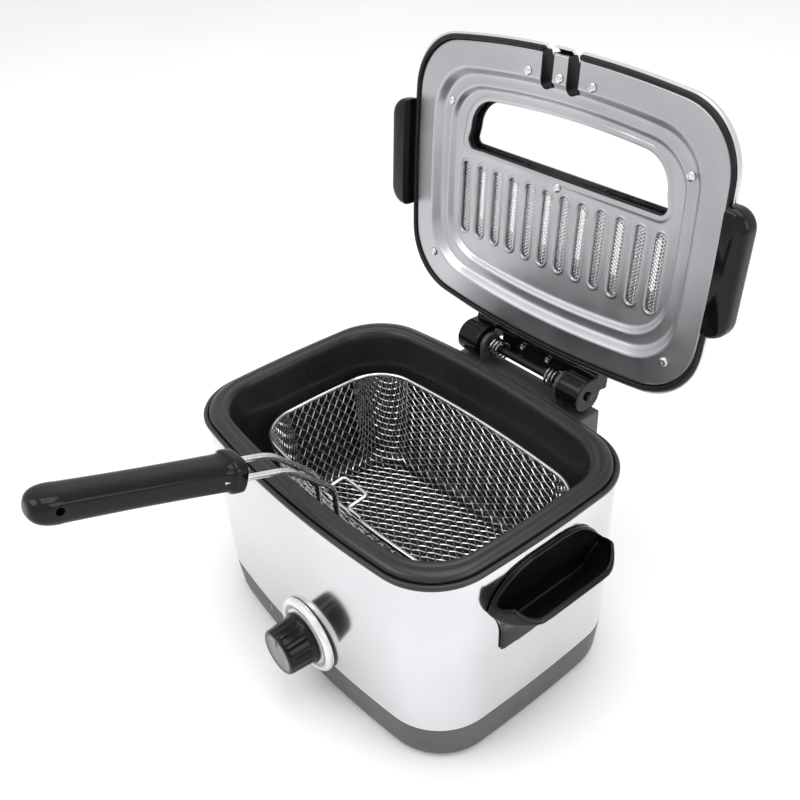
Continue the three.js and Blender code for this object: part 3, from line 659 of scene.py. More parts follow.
# ------------------------------------------------------------------ housing, skirt, collar, pot
def build_body():
    low, high, bevel = SKIRT_TOP + FIT_GAP, HOUSING_TOP, 0.5
    foot, head = wall_inset(low), wall_inset(high)
    levels = [(low + bevel, foot), (low, foot + 0.4), (low, foot + SHEET)]
    levels += [(high, head + SHEET), (high, head + 0.3)]
    levels += [(z, wall_inset(z)) for z in np.linspace(high - bevel, low + bevel, 9)[:-1]]
    shape = stack(PLAN, levels, closed=True)
    make("housing_wrap", shape, M["steel"], "housing", "housing_shell")

    z0 = SKIRT_LOW
    outer = [(z0, 7.2), (z0 + 0.35, 6.5), (z0 + 1.2, 5.4), (z0 + 4, 4.7), (z0 + 12, 4.0)]
    outer += [(SKIRT_TOP - 0.6, 2.85), (SKIRT_TOP, 3.3), (SKIRT_TOP, 5.4)]
    outer += [(z0 + 6, 9.0), (z0 + 3, 12.0)]
    skirt = raw("skirt_work", stack(PLAN, outer, cap_first=True, cap_last=True))
    lamp_lo, lamp_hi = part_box("pilot_lamp")
    grow = 0.3
    tools = [
        raw(
            "lamp_hole",
            block(
                lamp_lo.x / MM - grow, lamp_hi.x / MM + grow, -HALF_Y - 20, -HALF_Y + 30,
                lamp_lo.z / MM - grow, lamp_hi.z / MM + grow,
            ),
        )
    ]
    for i in range(-3, 4):
        tools.append(raw("vent_hole", block(i * 16 - 1.6, i * 16 + 1.6, -30, 30, -5, z0 + 10)))
    boolean(skirt, tools)
    adopt(skirt, "skirt", M["grey"], "housing", "base_skirt")

    # Lamp lens, a small bowed window.
    x0, x1, y0 = lamp_lo.x / MM, lamp_hi.x / MM, (lamp_lo.y - BODY_Y) / MM
    zl, zh = lamp_lo.z / MM, lamp_hi.z / MM
    rings = []
    for depth, inset in ((8.0, 0.0), (0.5, 0.0), (0.12, 0.2), (0.0, 0.7)):
        half_w, half_h = (x1 - x0) / 2 - inset, (zh - zl) / 2 - inset
        rings.append(
            [
                ((x0 + x1) / 2 + c * half_w, y0 + depth, (zl + zh) / 2 + s * half_h)
                for c, s in squared(24, 0.35)
            ]
        )
    shape = loft(rings, cap_first=True, cap_last=True)
    make("lamp_lens", shape, M["lamp"], "housing", "pilot_lamp")

    for node in ("foot_front_left", "foot_front_right", "foot_back_left", "foot_back_right"):
        lo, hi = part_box(node)
        c = (lo + hi) / 2
        cx, cy = c.x / MM, (c.y - BODY_Y) / MM
        r = (hi.x - lo.x) / 2 / MM
        top = hi.z / MM
        steps = [(r - 1.2, 0.0), (r - 0.4, 0.25), (r, 0.9), (r, top), (r - 2, top)]
        rings = turned(cx, cy, steps, 48)
        shape = loft(rings, cap_first=True, cap_last=True)
        make(node + "_pad", shape, M["rubber"], "housing", node)

    # Collar: a thin flange with a rounded outer lip.
    c0 = HOUSING_TOP + FIT_GAP
    seat = c0 + 1.3
    levels = [(c0, 1.0), (c0 + 0.25, 0.35), (c0 + 0.8, 0.0), (seat + 0.9, 0.0), (seat + 1.6, 0.3)]
    levels += [(seat + 2.05, 0.9), (seat + 2.1, 1.5), (seat + 1.8, 2.3), (seat + 1.0, 2.8)]
    levels += [(seat, 2.9), (seat, 12.0), (c0, 12.0)]
    shape = stack(PLAN, levels, closed=True)
    make("collar", shape, M["non_stick"], "housing", "top_collar")

    # Pot: rolled rim with a groove along it, then the basin.
    top = RIM_TOP
    roll = [(seat + 0.35, 6.2), (seat + 0.4, 4.4), (seat + 1.0, 3.5), (seat + 2.0, 3.2)]
    roll += [(seat + 3.1, 3.45), (top - 1.45, 4.2), (top - 0.7, 5.2), (top - 0.2, 6.5)]
    roll += [(top, 7.6), (top - 0.15, 8.7), (top - 0.5, 9.6), (top - 0.55, 10.4)]
    roll += [(top - 0.25, 11.3), (top - 0.05, 12.2), (top - 0.1, 13.1), (top - 0.6, 13.9)]
    roll += [(top - 1.5, 14.7), (top - 3.2, 15.5), (top - 7, 16.3), (130, 17.1), (100, 18.6)]
    roll += [(75, 19.9), (62, 20.8), (56, 22.2), (52.2, 24.3), (49.8, 27.2), (48.5, 30.4)]
    roll += [(48, 34), (48, 55)]
    under = [(46.5, 55), (46.5, 32.6), (47.4, 28.9), (49.5, 25.8), (53, 22.9), (58, 20.6)]
    under += [(64, 19.1), (100, 17.1), (130, 15.7), (seat + 0.35, 14.8)]
    inner, outer = stack(PLAN, roll, cap_last=True), stack(PLAN, under, cap_first=True)
    bridge = stack(PLAN, [under[-1], roll[0]])
    shape = merged([inner, outer, bridge])
    make("pot_shell", shape, M["non_stick"], "pot", "oil_pot")


build_body()


# ------------------------------------------------------------------ knob and dial
knob_lo, knob_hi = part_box("control_knob")
KNOB_X = (knob_lo.x + knob_hi.x) / 2 / MM
KNOB_Z = (knob_lo.z + knob_hi.z) / 2 / MM
KNOB_BACK = (knob_hi.y - BODY_Y) / MM
KNOB_LENGTH = (knob_hi.y - knob_lo.y) / MM
dial_lo, dial_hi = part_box("dial_ring")
DIAL_BACK = (dial_hi.y - BODY_Y) / MM
DIAL_THICK = (dial_hi.y - dial_lo.y) / MM


def build_knob():
    L = KNOB_LENGTH
    at = (KNOB_X, KNOB_BACK, KNOB_Z)
    profile = [(3.4, 0.0), (17.6, 0.0), (18.3, 0.3), (18.5, 0.9), (18.4, 1.8)]
    profile += [(17.6, 2.8), (17.0, 3.6)]
    profile += [(16.9 - 0.9 * t, 4.2 + (L - 6.4) * t) for t in np.linspace(0, 1, 8)]
    profile += [(15.7, L - 1.2), (15.2, L - 0.55), (14.4, L - 0.12), (13.6, L)]
    segments, flutes, flute_depth = 192, 12, 0.9
    rings = lathe(profile, segments, at, flutes, flute_depth, (3.7, L - 1.0))
    sides = loft(rings, cap_first=True)
    face = [(13.6, L), (13.2, L - 0.03), (12.9, L - 0.2), (8.0, L - 0.25), (3.0, L - 0.28)]
    face_rings = lathe(face, segments, at)
    shape = merged([sides, loft(face_rings, cap_last=True)])
    ob = make("knob", shape, M["gloss"], "knob", "control_knob", sharp=30)
    # Polygons on the knob's front face take the dark grey with its painted sheen.
    ob.data.materials.append(M["knob_face"])
    for poly in ob.data.polygons:
        c = poly.center
        near = math.hypot(c.x / MM - KNOB_X, c.z / MM - KNOB_Z) < 13.0
        if near and c.y < P(0, KNOB_BACK - L + 0.6, 0).y:
            poly.material_index = 1
    # Raised pointer line from the rim of the face towards the middle.
    bar = []
    half_w, half_h, centre_z = 0.7, 3.2, KNOB_Z + 9.2
    for below, grow in ((0.6, 0.0), (0.2, 0.0), (0.06, -0.2)):
        y = KNOB_BACK - L + below
        bar.append(
            [
                (KNOB_X + (half_w + grow) * c, y, centre_z + (half_h + grow) * s)
                for c, s in squared(20, 0.5)
            ]
        )
    shape = loft(bar, cap_first=True, cap_last=True)
    make("knob_pointer", shape, M["gloss"], "knob", None)

    T = DIAL_THICK
    at = (KNOB_X, DIAL_BACK, KNOB_Z)
    inner, outer = 12.0, 26.5
    profile = [(inner, 0.0), (outer - 0.3, 0.0), (outer, 0.3), (outer, T * 0.45)]
    profile += [(outer - 0.25, T * 0.62), (outer - 1.0, T * 0.82), (outer - 1.9, T * 0.95)]
    profile += [(outer - 2.8, T), (outer - 3.6, T - 0.15), (outer - 4.1, T - 0.7)]
    profile += [(outer - 4.8, T - 0.95), (19.8, T - 0.95), (19.2, T - 0.6), (inner, T - 0.6)]
    shape = loft(lathe(profile, 128, at), closed=True)
    dial = make("dial", shape, M["dial"], "housing", "dial_ring", sharp=40)
    dial.data.materials.append(M["dial_face"])
    for poly in dial.data.polygons:
        c = poly.center
        r = math.hypot(c.x / MM - KNOB_X, c.z / MM - KNOB_Z)
        if 19.6 < r < 22.2 and c.y < P(0, DIAL_BACK - T + 1.4, 0).y:
            poly.material_index = 1

    # Generic tick marks around the face.
    parts = []
    face = DIAL_BACK - (T - 0.95)
    for i in range(28):
        a = math.radians(-130 + i * 260 / 27) + math.pi / 2
        long = i % 3 == 0
        r0, r1 = (20.0, 22.0) if long else (20.5, 21.7)
        w = 0.24 if long else 0.14
        radial = Vector((math.cos(a), 0, math.sin(a)))
        side = Vector((-math.sin(a), 0, math.cos(a)))
        quad = []
        for lift in (0.02, -0.1):
            for r, s in ((r0, -w), (r1, -w), (r1, w), (r0, w)):
                p = Vector((KNOB_X, face, KNOB_Z)) + radial * r + side * s
                quad.append(P(p.x, face + lift, p.z))
        faces = [(0, 1, 2, 3), (7, 6, 5, 4)]
        faces += [(k, (k + 1) % 4, 4 + (k + 1) % 4, 4 + k) for k in range(4)]
        parts.append((quad, faces))
    shape = merged(parts)
    make("dial_ticks", shape, M["ink"], "housing", None)


build_knob()


# ------------------------------------------------------------------ basket
mesh_lo, mesh_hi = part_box("basket_mesh")
BASKET_HX = mesh_hi.x / MM
BASKET_HY = (mesh_hi.y - mesh_lo.y) / 2 / MM
BASKET_Y = ((mesh_hi.y + mesh_lo.y) / 2 - BODY_Y) / MM
BASKET_LOW = mesh_lo.z / MM
BASKET_TOP = mesh_hi.z / MM
BASKET_PLAN = outline(BASKET_HX, BASKET_HY, 32, 3, 7, (40, 60, 60))
WIRE = 0.52


def basket_profile():
    """(height, inset) up the wall with the distance along it, from the edge of the flat floor."""
    pts = rounded(
        [(BASKET_LOW + WIRE * 2, 18.5), (BASKET_LOW + WIRE * 2, 9.9), (BASKET_TOP + 1.0, 0.9)],
        7.0,
    )
    pts = np.array(pts)
    run = np.concatenate([[0], np.cumsum(np.linalg.norm(np.diff(pts, axis=0), axis=1))])
    return pts, run


def build_basket():
    pts, run = basket_profile()
    base = BASKET_PLAN
    hx, hy = base[:, 0].max(), base[:, 1].max()

    def scaled(inset):
        return base * np.array([(hx - inset) / hx, (hy - inset) / hy])

    floor = scaled(18.5)
    tangent = np.roll(floor, -1, axis=0) - np.roll(floor, 1, axis=0)
    normal = np.stack([tangent[:, 1], -tangent[:, 0]], axis=1)
    normal /= np.linalg.norm(normal, axis=1)[:, None]
    angle = np.unwrap(np.arctan2(floor[:, 1] / hy, floor[:, 0] / hx))
    height_max = run[-1]

    def press(uv):
        """Flat sheet points to the pressed basket: place, outward normal, distance past floor."""
        d = uv[:, None, :] - floor[None, :, :]
        dist = np.einsum("ijk,ijk->ij", d, d)
        k = dist.argmin(axis=1)
        gap = np.einsum("ij,ij->i", uv - floor[k], normal[k])
        # A fractional index keeps the wires from stepping between outline points.
        nk, pk = (k + 1) % len(floor), (k - 1) % len(floor)
        t = floor[nk] - floor[pk]
        frac = np.einsum("ij,ij->i", uv - floor[k], t) / np.einsum("ij,ij->i", t, t) * 2
        frac = np.clip(frac, -0.5, 0.5)
        z = np.interp(gap, run, pts[:, 0])
        inset = np.interp(gap, run, pts[:, 1])
        other = np.where(frac >= 0, nk, pk)
        mix = np.abs(frac)[:, None]
        on = base[k] * (1 - mix) + base[other] * mix
        sx, sy = (hx - inset) / hx, (hy - inset) / hy
        wall = np.stack([on[:, 0] * sx, on[:, 1] * sy], axis=1)
        inside = gap <= 0
        xy = np.where(inside[:, None], uv, wall)
        z = np.where(inside, pts[0, 0], z)
        place3 = np.concatenate([xy, z[:, None]], axis=1)
        place3[:, 1] += BASKET_Y
        rise = np.interp(gap, [0, 9.0], [0, 1])
        nx = np.where(inside, 0, normal[k, 0] * rise)
        ny = np.where(inside, 0, normal[k, 1] * rise)
        nz = np.where(inside, -1, -(1 - rise) - 0.1)
        out = np.stack([nx, ny, nz], axis=1)
        out /= np.linalg.norm(out, axis=1)[:, None]
        return place3, out, gap

    pitch = 5.0
    span_u, span_v = hx - 18.5 + height_max + 2, hy - 18.5 + height_max + 2
    lean = math.radians(33)
    dirs = [np.array([math.cos(lean), math.sin(lean)]), np.array([math.cos(lean), -math.sin(lean)])]
    # Distance between crossings along a wire.
    crossing = pitch / math.sin(2 * lean)
    parts = []
    for family, d in enumerate(dirs):
        across = np.array([-d[1], d[0]])
        reach = abs(across[0]) * span_u + abs(across[1]) * span_v
        count = int(reach / pitch)
        for m in range(-count, count + 1):
            length = span_u + span_v
            steps = np.arange(-length, length, crossing / 3)
            line = across * (m * pitch) + d * steps[:, None]
            keep = (np.abs(line[:, 0]) < span_u) & (np.abs(line[:, 1]) < span_v)
            line, steps_k = line[keep], steps[keep]
            if len(line) < 3:
                continue
            at, out, gap = press(line)
            # Over and under at alternate crossings.
            other = dirs[1 - family]
            other_across = np.array([-other[1], other[0]])
            index = (line @ other_across) / pitch
            wave = np.cos(np.pi * (index + m + (1 - family)))
            at = at + out * (wave * WIRE * 0.62)[:, None]
            ok = gap < height_max - 0.4
            # Each unbroken run below the rim is one wire.
            start = None
            for i in range(len(ok) + 1):
                good = i < len(ok) and ok[i]
                if good and start is None:
                    start = i
                if not good and start is not None:
                    if i - start >= 3:
                        parts.append(tube(at[start:i], WIRE, 5, seat=out[start:i]))
                    start = None
    shape = merged(parts)
    make("basket_weave", shape, M["mesh_wire"], "basket", "basket_mesh", sharp=60)

    rim_lo, rim_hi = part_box("basket_rim")
    r = (rim_hi.z - rim_lo.z) / 2 / MM
    z = (rim_hi.z + rim_lo.z) / 2 / MM
    path = ring(BASKET_PLAN[::2], z, r, BASKET_Y)
    shape = tube(path, r - 0.02, 12, closed=True)
    make("basket_rim_wire", shape, M["chrome"], "basket", "basket_rim")

    # Wire loop on the front rim that props the basket on the pot's rim.
    lo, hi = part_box("basket_loop")
    lx, y0, y1 = hi.x / MM, (lo.y - BODY_Y) / MM + 1.3, (hi.y - BODY_Y) / MM - 1.3
    z0, z1 = lo.z / MM + 1.3, hi.z / MM - 1.3
    path = eased(
        [(-lx, y0, z0), (-12, y0, z0), (-12, y1, z1), (12, y1, z1), (12, y0, z0), (lx, y0, z0)],
        3.2,
        straight=1.5,
    )
    shape = tube(path, 1.25, 12)
    make("basket_loop_wire", shape, M["chrome"], "basket", "basket_loop")


build_basket()


# ------------------------------------------------------------------ basket handle
ANGLE = math.radians(19.4)
BEND = (4.2 - HALF_Y, RIM_TOP + 20.7)
GRIP_Y = -HALF_Y - 22.3
GRIP_LEN = 118.0
BASKET_FRONT = BASKET_Y - BASKET_HY
LEG_Y = BASKET_FRONT - 4.8
GRIP_AXIS = Vector((0, -math.cos(ANGLE), math.sin(ANGLE)))
GRIP_START = Vector((0, GRIP_Y, BEND[1] + (BEND[0] - GRIP_Y) * math.tan(ANGLE)))
GRIP_UP = Vector((0, math.sin(ANGLE), math.cos(ANGLE)))


def grip_point(x, up, along):
    """Point of the grip, from sideways, upward and lengthwise distances."""
    return GRIP_START + Vector((x, 0, 0)) + GRIP_UP * up + GRIP_AXIS * along


def build_handle():
    deep = GRIP_START + GRIP_AXIS * 14
    bar_z = RIM_TOP - 32 - 14.8
    knee = RIM_TOP - 10.3
    left = [(-9.5, deep.y, deep.z), (-9.5, *BEND), (-9.5, LEG_Y, knee), (-9.5, LEG_Y, bar_z)]
    right = [(-x, y, z) for x, y, z in left][::-1]
    path = eased(left + right, 7.5, steps=12, straight=2.5)
    shape = tube(path, 1.97, 16)
    make("handle_wires", shape, M["handle_wire"], "handle", "handle_wire")

    def section(along, half_w, half_h, power=0.62):
        return [tuple(grip_point(half_w * c, half_h * s, along)) for c, s in squared(64, power)]

    rings = [
        section(0.0, 11.6, 9.1),
        section(0.2, 12.3, 9.8),
        section(0.8, 12.85, 10.35),
        section(1.8, 13.0, 10.5),
        section(6.6, 13.0, 10.5),
        section(7.8, 12.8, 10.3),
        section(8.7, 12.0, 9.5),
        section(9.6, 11.5, 9.0),
        section(14, 11.35, 8.85),
    ]
    for t in np.linspace(0.16, 0.86, 12):
        waist = 0.55 * math.sin(math.pi * (t - 0.1))
        rings.append(section(GRIP_LEN * t, 11.4 - waist, 8.9 - waist))
    tip = [(14, 0.0), (10.5, 0.15), (7.5, 0.6), (5, 1.35), (3, 2.4), (1.6, 3.7)]
    tip += [(0.7, 5.1), (0.2, 6.5), (0, 8.0)]
    for back, shrink in tip:
        half_w, half_h = 11.2 - shrink * 1.05, 8.7 - shrink * 0.8
        rings.append(section(GRIP_LEN - back, half_w, half_h, 0.62 + shrink * 0.03))
    grip = raw("grip_work", loft(rings, cap_first=True, cap_last=True))
    radius, up, along = 2.3, 1.5, GRIP_LEN - 13
    hole = [
        [tuple(grip_point(x, up + radius * c, along + radius * s)) for c, s in circle(24)]
        for x in (-20, 20)
    ]
    tool = raw("hang_hole", loft(hole, cap_first=True, cap_last=True))
    boolean(grip, [tool])
    adopt(grip, "grip", M["gloss"], "handle", "handle_grip", sharp=50)

    for name, side in (("grip_rivet_left", -1), ("grip_rivet_right", 1)):
        lo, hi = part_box(name)
        c = (lo + hi) / 2
        centre = Vector((c.x / MM, (c.y - BODY_Y) / MM, c.z / MM))
        rings = []
        for r, out in ((1.5, -0.45), (1.5, -0.1), (1.3, 0.2), (0.9, 0.4), (0.4, 0.48)):
            rings.append(
                [
                    tuple(centre + Vector((r * c, 0, 0)) + GRIP_UP * r * s - GRIP_AXIS * out)
                    for c, s in circle(20)
                ]
            )
        shape = loft(rings, cap_first=True, cap_last=True)
        make(name + "_head", shape, M["chrome"], "handle", name)


build_handle()


# ------------------------------------------------------------------ side handles
def build_scoops():
    reach0, half0, wall = 26.9, 45.0, 3.2
    pocket_rise, pocket_drop = 24, 2.5
    thin_foot, swell_from, swell_over, narrow = 0.06, 0.22, 0.4, 0.75
    low, high = HOUSING_TOP - 68, HOUSING_TOP - 6
    lip = HOUSING_TOP - 30.7
    wall_x = HALF_X - RIM_INSET

    def scoop(margin, z0, z1, inner_x, drop):
        """Bowl that swells out from a thin foot, its plan rounded at both ends."""
        reach, half = reach0 - margin, half0 - margin
        outer = wall_x + reach
        corner = min(reach - 1.5, outer - inner_x)
        turn_x = outer - corner
        base = [(inner_x, -half)]
        base += quarter_arc(turn_x, -half + corner, corner, -math.pi / 2, 12)
        base += quarter_arc(turn_x, half - corner, corner, 0, 12)
        base.append((inner_x, half))
        rings = []
        for share in np.linspace(0, 1, 33):
            z = z0 + (z1 - z0) * share
            height = (z - drop - low) / (high - low)
            rise = min(max((height - swell_from) / swell_over, 0), 1)
            swell = thin_foot + (1 - thin_foot) * rise * rise
            spread_y = narrow + (1 - narrow) * swell
            r = []
            for x, y in base:
                past = max(x - wall_x, 0)
                r.append((x - past * (1 - swell), y * spread_y, z))
            rings.append(r)
        return loft(rings, cap_first=True, cap_last=True)

    outer = raw("scoop_work", scoop(0, low, high, HALF_X - 14, 0))
    pocket_levels = (low + pocket_rise, high + 20)
    pocket = raw("pocket", scoop(wall, *pocket_levels, wall_x + wall, pocket_drop))
    tilt = math.atan2(high - lip, reach0 - 4)
    hinge = Vector((wall_x + 4, 0, high))
    c, s = math.cos(tilt), math.sin(tilt)
    corners = []
    for x, z in ((0, 0), (200, 0), (200, 60), (0, 60)):
        corners.append((hinge.x + x * c + z * s, hinge.z - x * s + z * c))
    verts = [P(x, -100, z) for x, z in corners] + [P(x, 100, z) for x, z in corners]
    faces = [(0, 1, 2, 3), (7, 6, 5, 4)]
    faces += [(i, (i + 1) % 4, 4 + (i + 1) % 4, 4 + i) for i in range(4)]
    # Everything above a plane that falls outward to the lip is taken away.
    mouth = raw("mouth", (verts, faces))
    # Both upper corners are rounded off against the housing wall.
    round_y, round_z, turns = 34.0, 27.0, 24
    corner_cuts = []
    for side in (-1, 1):
        edge = []
        for i in range(turns + 1):
            a = math.pi / 2 * i / turns
            y = half0 - round_y + round_y * math.sin(a)
            edge.append((side * y, high + 0.01 - round_z + round_z * math.cos(a)))
        edge += [(side * 80, high - round_z), (side * 80, high + 60)]
        edge.append((side * (half0 - round_y), high + 60))
        if side > 0:
            edge.reverse()
        count = len(edge)
        verts = [P(x, y, z) for x in (60, 260) for y, z in edge]
        faces = [tuple(range(count)), tuple(reversed(range(count, 2 * count)))]
        faces += [(k, count + k, count + (k + 1) % count, (k + 1) % count) for k in range(count)]
        corner_cuts.append(raw("corner_cut", (verts, faces)))
    levels = [(z, wall_inset(z) - FIT_GAP) for z in (40, RIM_TOP + 5)]
    body = raw("body_volume", stack(PLAN, levels, cap_first=True, cap_last=True))
    boolean(outer, [pocket, mouth, body, *corner_cuts])
    soften(outer, 0.8, 7)
    for side, me in mirrored_pair(outer):
        name, node = "side_scoop_" + side, "side_handle_" + side
        place(me, name, M["gloss"], "housing", node, sharp=60)


build_scoops()


# ------------------------------------------------------------------ lid sheet metal
LID_PLAN = outline(HALF_X, LID_HALF_Y, CORNER, BOW_X, BOW_Y)
PLATE_LOW = LID_SEAT + 1.6
BAND_LOW = PLATE_LOW + 5
PANEL_LOW = BAND_LOW + 3.2
BEHIND_PANEL = PANEL_LOW + 1.4 + 0.3
SLOTS = 12
SLOT_PITCH = (HALF_X - 37.6) / 6
WINDOW_FRONT = 38.9 - HALF_Y
WINDOW_BACK = WINDOW_FRONT + 39.7
SLOT_FRONT = WINDOW_BACK + 9.6
SLOT_BACK = HALF_Y - 49.2
SLOT_WIDTH = 7.2
NOTCH_X = 10.3
NOTCH_WIDTH = 9.6
NOTCH_END = 23.7 - HALF_Y
WINDOW_HX = HALF_X - 44


def window_points(grow, steps=10):
    """The window's outline, grown by a border: square corners behind, round and bowed in front."""
    hx, back, front = WINDOW_HX + grow, WINDOW_BACK + grow, WINDOW_FRONT - grow
    rear, fore = 6 + grow, 22 + grow
    pts = []

    def arc(cx, cy, r, a0, a1):
        for i in range(steps + 1):
            a = a0 + (a1 - a0) * i / steps
            pts.append((cx + r * math.cos(a), cy + r * math.sin(a)))

    arc(hx - rear, back - rear, rear, math.pi / 2, 0)
    arc(hx - fore - 2, front + fore + 4, fore, 0, -math.pi * 0.46)
    x0, y0 = pts[-1]
    x1, y1 = -(hx - fore - 2) - fore * 0.12, front + 4.2
    for i in range(1, 16):
        t = i / 16
        pts.append(
            (
                x0 * (1 - t) ** 2 + x1 * t * t,
                y0 * (1 - t) ** 2 + (front - 1.5) * 2 * t * (1 - t) + y1 * t * t,
            )
        )
    arc(-(hx - fore - 2), front + fore + 4, fore, -math.pi * 0.54, -math.pi)
    arc(-hx + rear, back - rear, rear, math.pi, math.pi / 2)
    return pts


def notch_points(side):
    """Slot that runs out over the front edge, where a handle wire passes."""
    return slot_points(side * NOTCH_X, -LID_HALF_Y - 40, NOTCH_END, NOTCH_WIDTH, 12)


def slot_points(x, front, back, width, steps=8):
    """Slot with round ends, along y."""
    r = width / 2
    pts = []
    for i in range(steps + 1):
        a = math.pi * i / steps
        pts.append((x + r * math.cos(a), back - r + r * math.sin(a)))
    for i in range(steps + 1):
        a = math.pi + math.pi * i / steps
        pts.append((x + r * math.cos(a), front + r + r * math.sin(a)))
    return pts


def inside_of(points, polygon):
    """Which points lie inside a polygon."""
    x, y = points[:, 0], points[:, 1]
    px, py = polygon[:, 0], polygon[:, 1]
    qx, qy = np.roll(px, -1), np.roll(py, -1)
    hit = np.zeros(len(points), bool)
    for ax, ay, bx, by in zip(px, py, qx, qy):
        if ay == by:
            continue
        cross = (ay > y) != (by > y)
        at = (bx - ax) * (y - ay) / (by - ay) + ax
        hit ^= cross & (x < at)
    return hit


def polar_of(base):
    """Angle and radius of an outline's points, run on past a full turn both ways."""
    a = np.arctan2(base[:, 1], base[:, 0])
    order = np.argsort(a)
    a, r = a[order], np.linalg.norm(base, axis=1)[order]
    return np.concatenate([a - 2 * np.pi, a, a + 2 * np.pi]), np.concatenate([r, r, r])


def inset_at(points, base):
    """How far in from the outline each point lies, in the outline's own scaling."""
    hx, hy = base[:, 0].max(), base[:, 1].max()
    table_a, table_r = polar_of(base)
    low, high = np.full(len(points), -6.0), np.full(len(points), hy - 1.0)
    for _ in range(36):
        mid = (low + high) / 2
        sx, sy = points[:, 0] * hx / (hx - mid), points[:, 1] * hy / (hy - mid)
        out = np.hypot(sx, sy) > np.interp(np.arctan2(sy, sx), table_a, table_r)
        high = np.where(out, mid, high)
        low = np.where(out, low, mid)
    return (low + high) / 2


def sheet_metal(profile, holes, thickness, lips):
    """Pressed sheet, closed and growing upward by its thickness. Its height follows the profile
    of (inset, height), its edge is the profile's first inset, and lips shape hole borders."""
    base = LID_PLAN
    coords, edges = [], []

    def add_loop(pts):
        start = len(coords)
        coords.extend((float(x), float(y)) for x, y in pts)
        n = len(pts)
        edges.extend((start + i, start + (i + 1) % n) for i in range(n))

    insets = [p[0] for p in profile]
    for inset in insets:
        pts = np.array(ring(base, 0, inset))[:, :2]
        add_loop(pts)
    for hole in holes:
        add_loop(hole)
    for loop, _ in lips:
        add_loop(loop)
    flat = [Vector((x, y, 0)).to_2d() for x, y in coords]
    out_v, _, out_f, _, _, _ = delaunay_2d_cdt(flat, edges, [], 0, 1e-5)
    pts = np.array([(v.x, v.y) for v in out_v])
    faces = [tuple(f) for f in out_f]
    mids = np.array([pts[list(f)].mean(axis=0) for f in faces])
    keep = inside_of(mids, np.array(ring(base, 0, insets[0]))[:, :2])
    for hole in holes:
        keep &= ~inside_of(mids, np.array(hole))
    faces = [f for f, k in zip(faces, keep) if k]
    inset = inset_at(pts, base)
    height = np.interp(inset, insets, [p[1] for p in profile])
    for loop, lift in lips:
        poly = np.array(loop)
        # Points on a lip loop take its lift.
        for i in range(0, len(poly)):
            near = np.hypot(pts[:, 0] - poly[i, 0], pts[:, 1] - poly[i, 1]) < 0.02
            height[near] += lift
    n = len(pts)
    verts = [P(x, y + LID_SHIFT, z) for (x, y), z in zip(pts, height)]
    verts += [P(x, y + LID_SHIFT, z + thickness) for (x, y), z in zip(pts, height)]
    count = {}
    for f in faces:
        for i in range(len(f)):
            e = (f[i], f[(i + 1) % len(f)])
            count[tuple(sorted(e))] = count.get(tuple(sorted(e)), []) + [e]
    all_faces = [f[::-1] for f in faces] + [tuple(n + i for i in f) for f in faces]
    for uses in count.values():
        if len(uses) == 1:
            a, b = uses[0]
            all_faces.append((a, b, n + b, n + a))
    return verts, all_faces


def build_plate():
    # Profile of the visible underside: flange, ridge, recess wall, band, bead, second recess.
    p, b, q = PLATE_LOW, BAND_LOW, PANEL_LOW
    profile = [
        (2.1, p + 0.9), (2.4, p + 0.35), (3.0, p), (4.0, p), (16.4, p), (16.9, p - 0.12),
        (17.5, p - 0.2), (18.2, p - 0.12), (18.9, p + 0.15), (19.8, p + 0.9), (21.4, p + 2.9),
        (22.6, p + 4.3), (23.4, b - 0.1), (24.2, b), (25.0, b), (28.2, b), (28.8, b - 0.14),
        (29.5, b - 0.22), (30.2, b - 0.1), (30.9, b + 0.35), (31.8, b + 1.5), (32.7, b + 2.6),
        (33.5, q - 0.06), (34.3, q), (35.3, q), (36.3, q), (94.0, q),
    ]

    def centred(points):
        return [(x, y - LID_SHIFT) for x, y in points]

    holes = [centred(notch_points(side)) for side in (-1, 1)]
    holes.append(centred(window_points(0)))
    window_lip = [(0.9, -0.25), (1.8, -0.45), (2.8, -0.45), (3.8, -0.12), (4.6, 0.0), (5.6, 0.0)]
    slot_lip = [(0.4, -0.4), (0.9, -0.6), (1.5, -0.45), (2.1, -0.1), (2.6, 0.0), (3.3, 0.0)]
    lips = [(centred(window_points(grow)), lift) for grow, lift in window_lip]
    for i in range(SLOTS):
        x = (i - (SLOTS - 1) / 2) * SLOT_PITCH
        front, back = SLOT_FRONT - LID_SHIFT, SLOT_BACK - LID_SHIFT
        holes.append(slot_points(x, front, back, SLOT_WIDTH))
        for grow, lift in slot_lip:
            lips.append((slot_points(x, front - grow, back + grow, SLOT_WIDTH + 2 * grow), lift))
    shape = sheet_metal(profile, holes, SHEET, lips)
    make(
        "lid_plate", shape, M["plate"], "lid", "lid_inner_plate",
        sharp=48, turn=LID_TURN,
    )


build_plate()


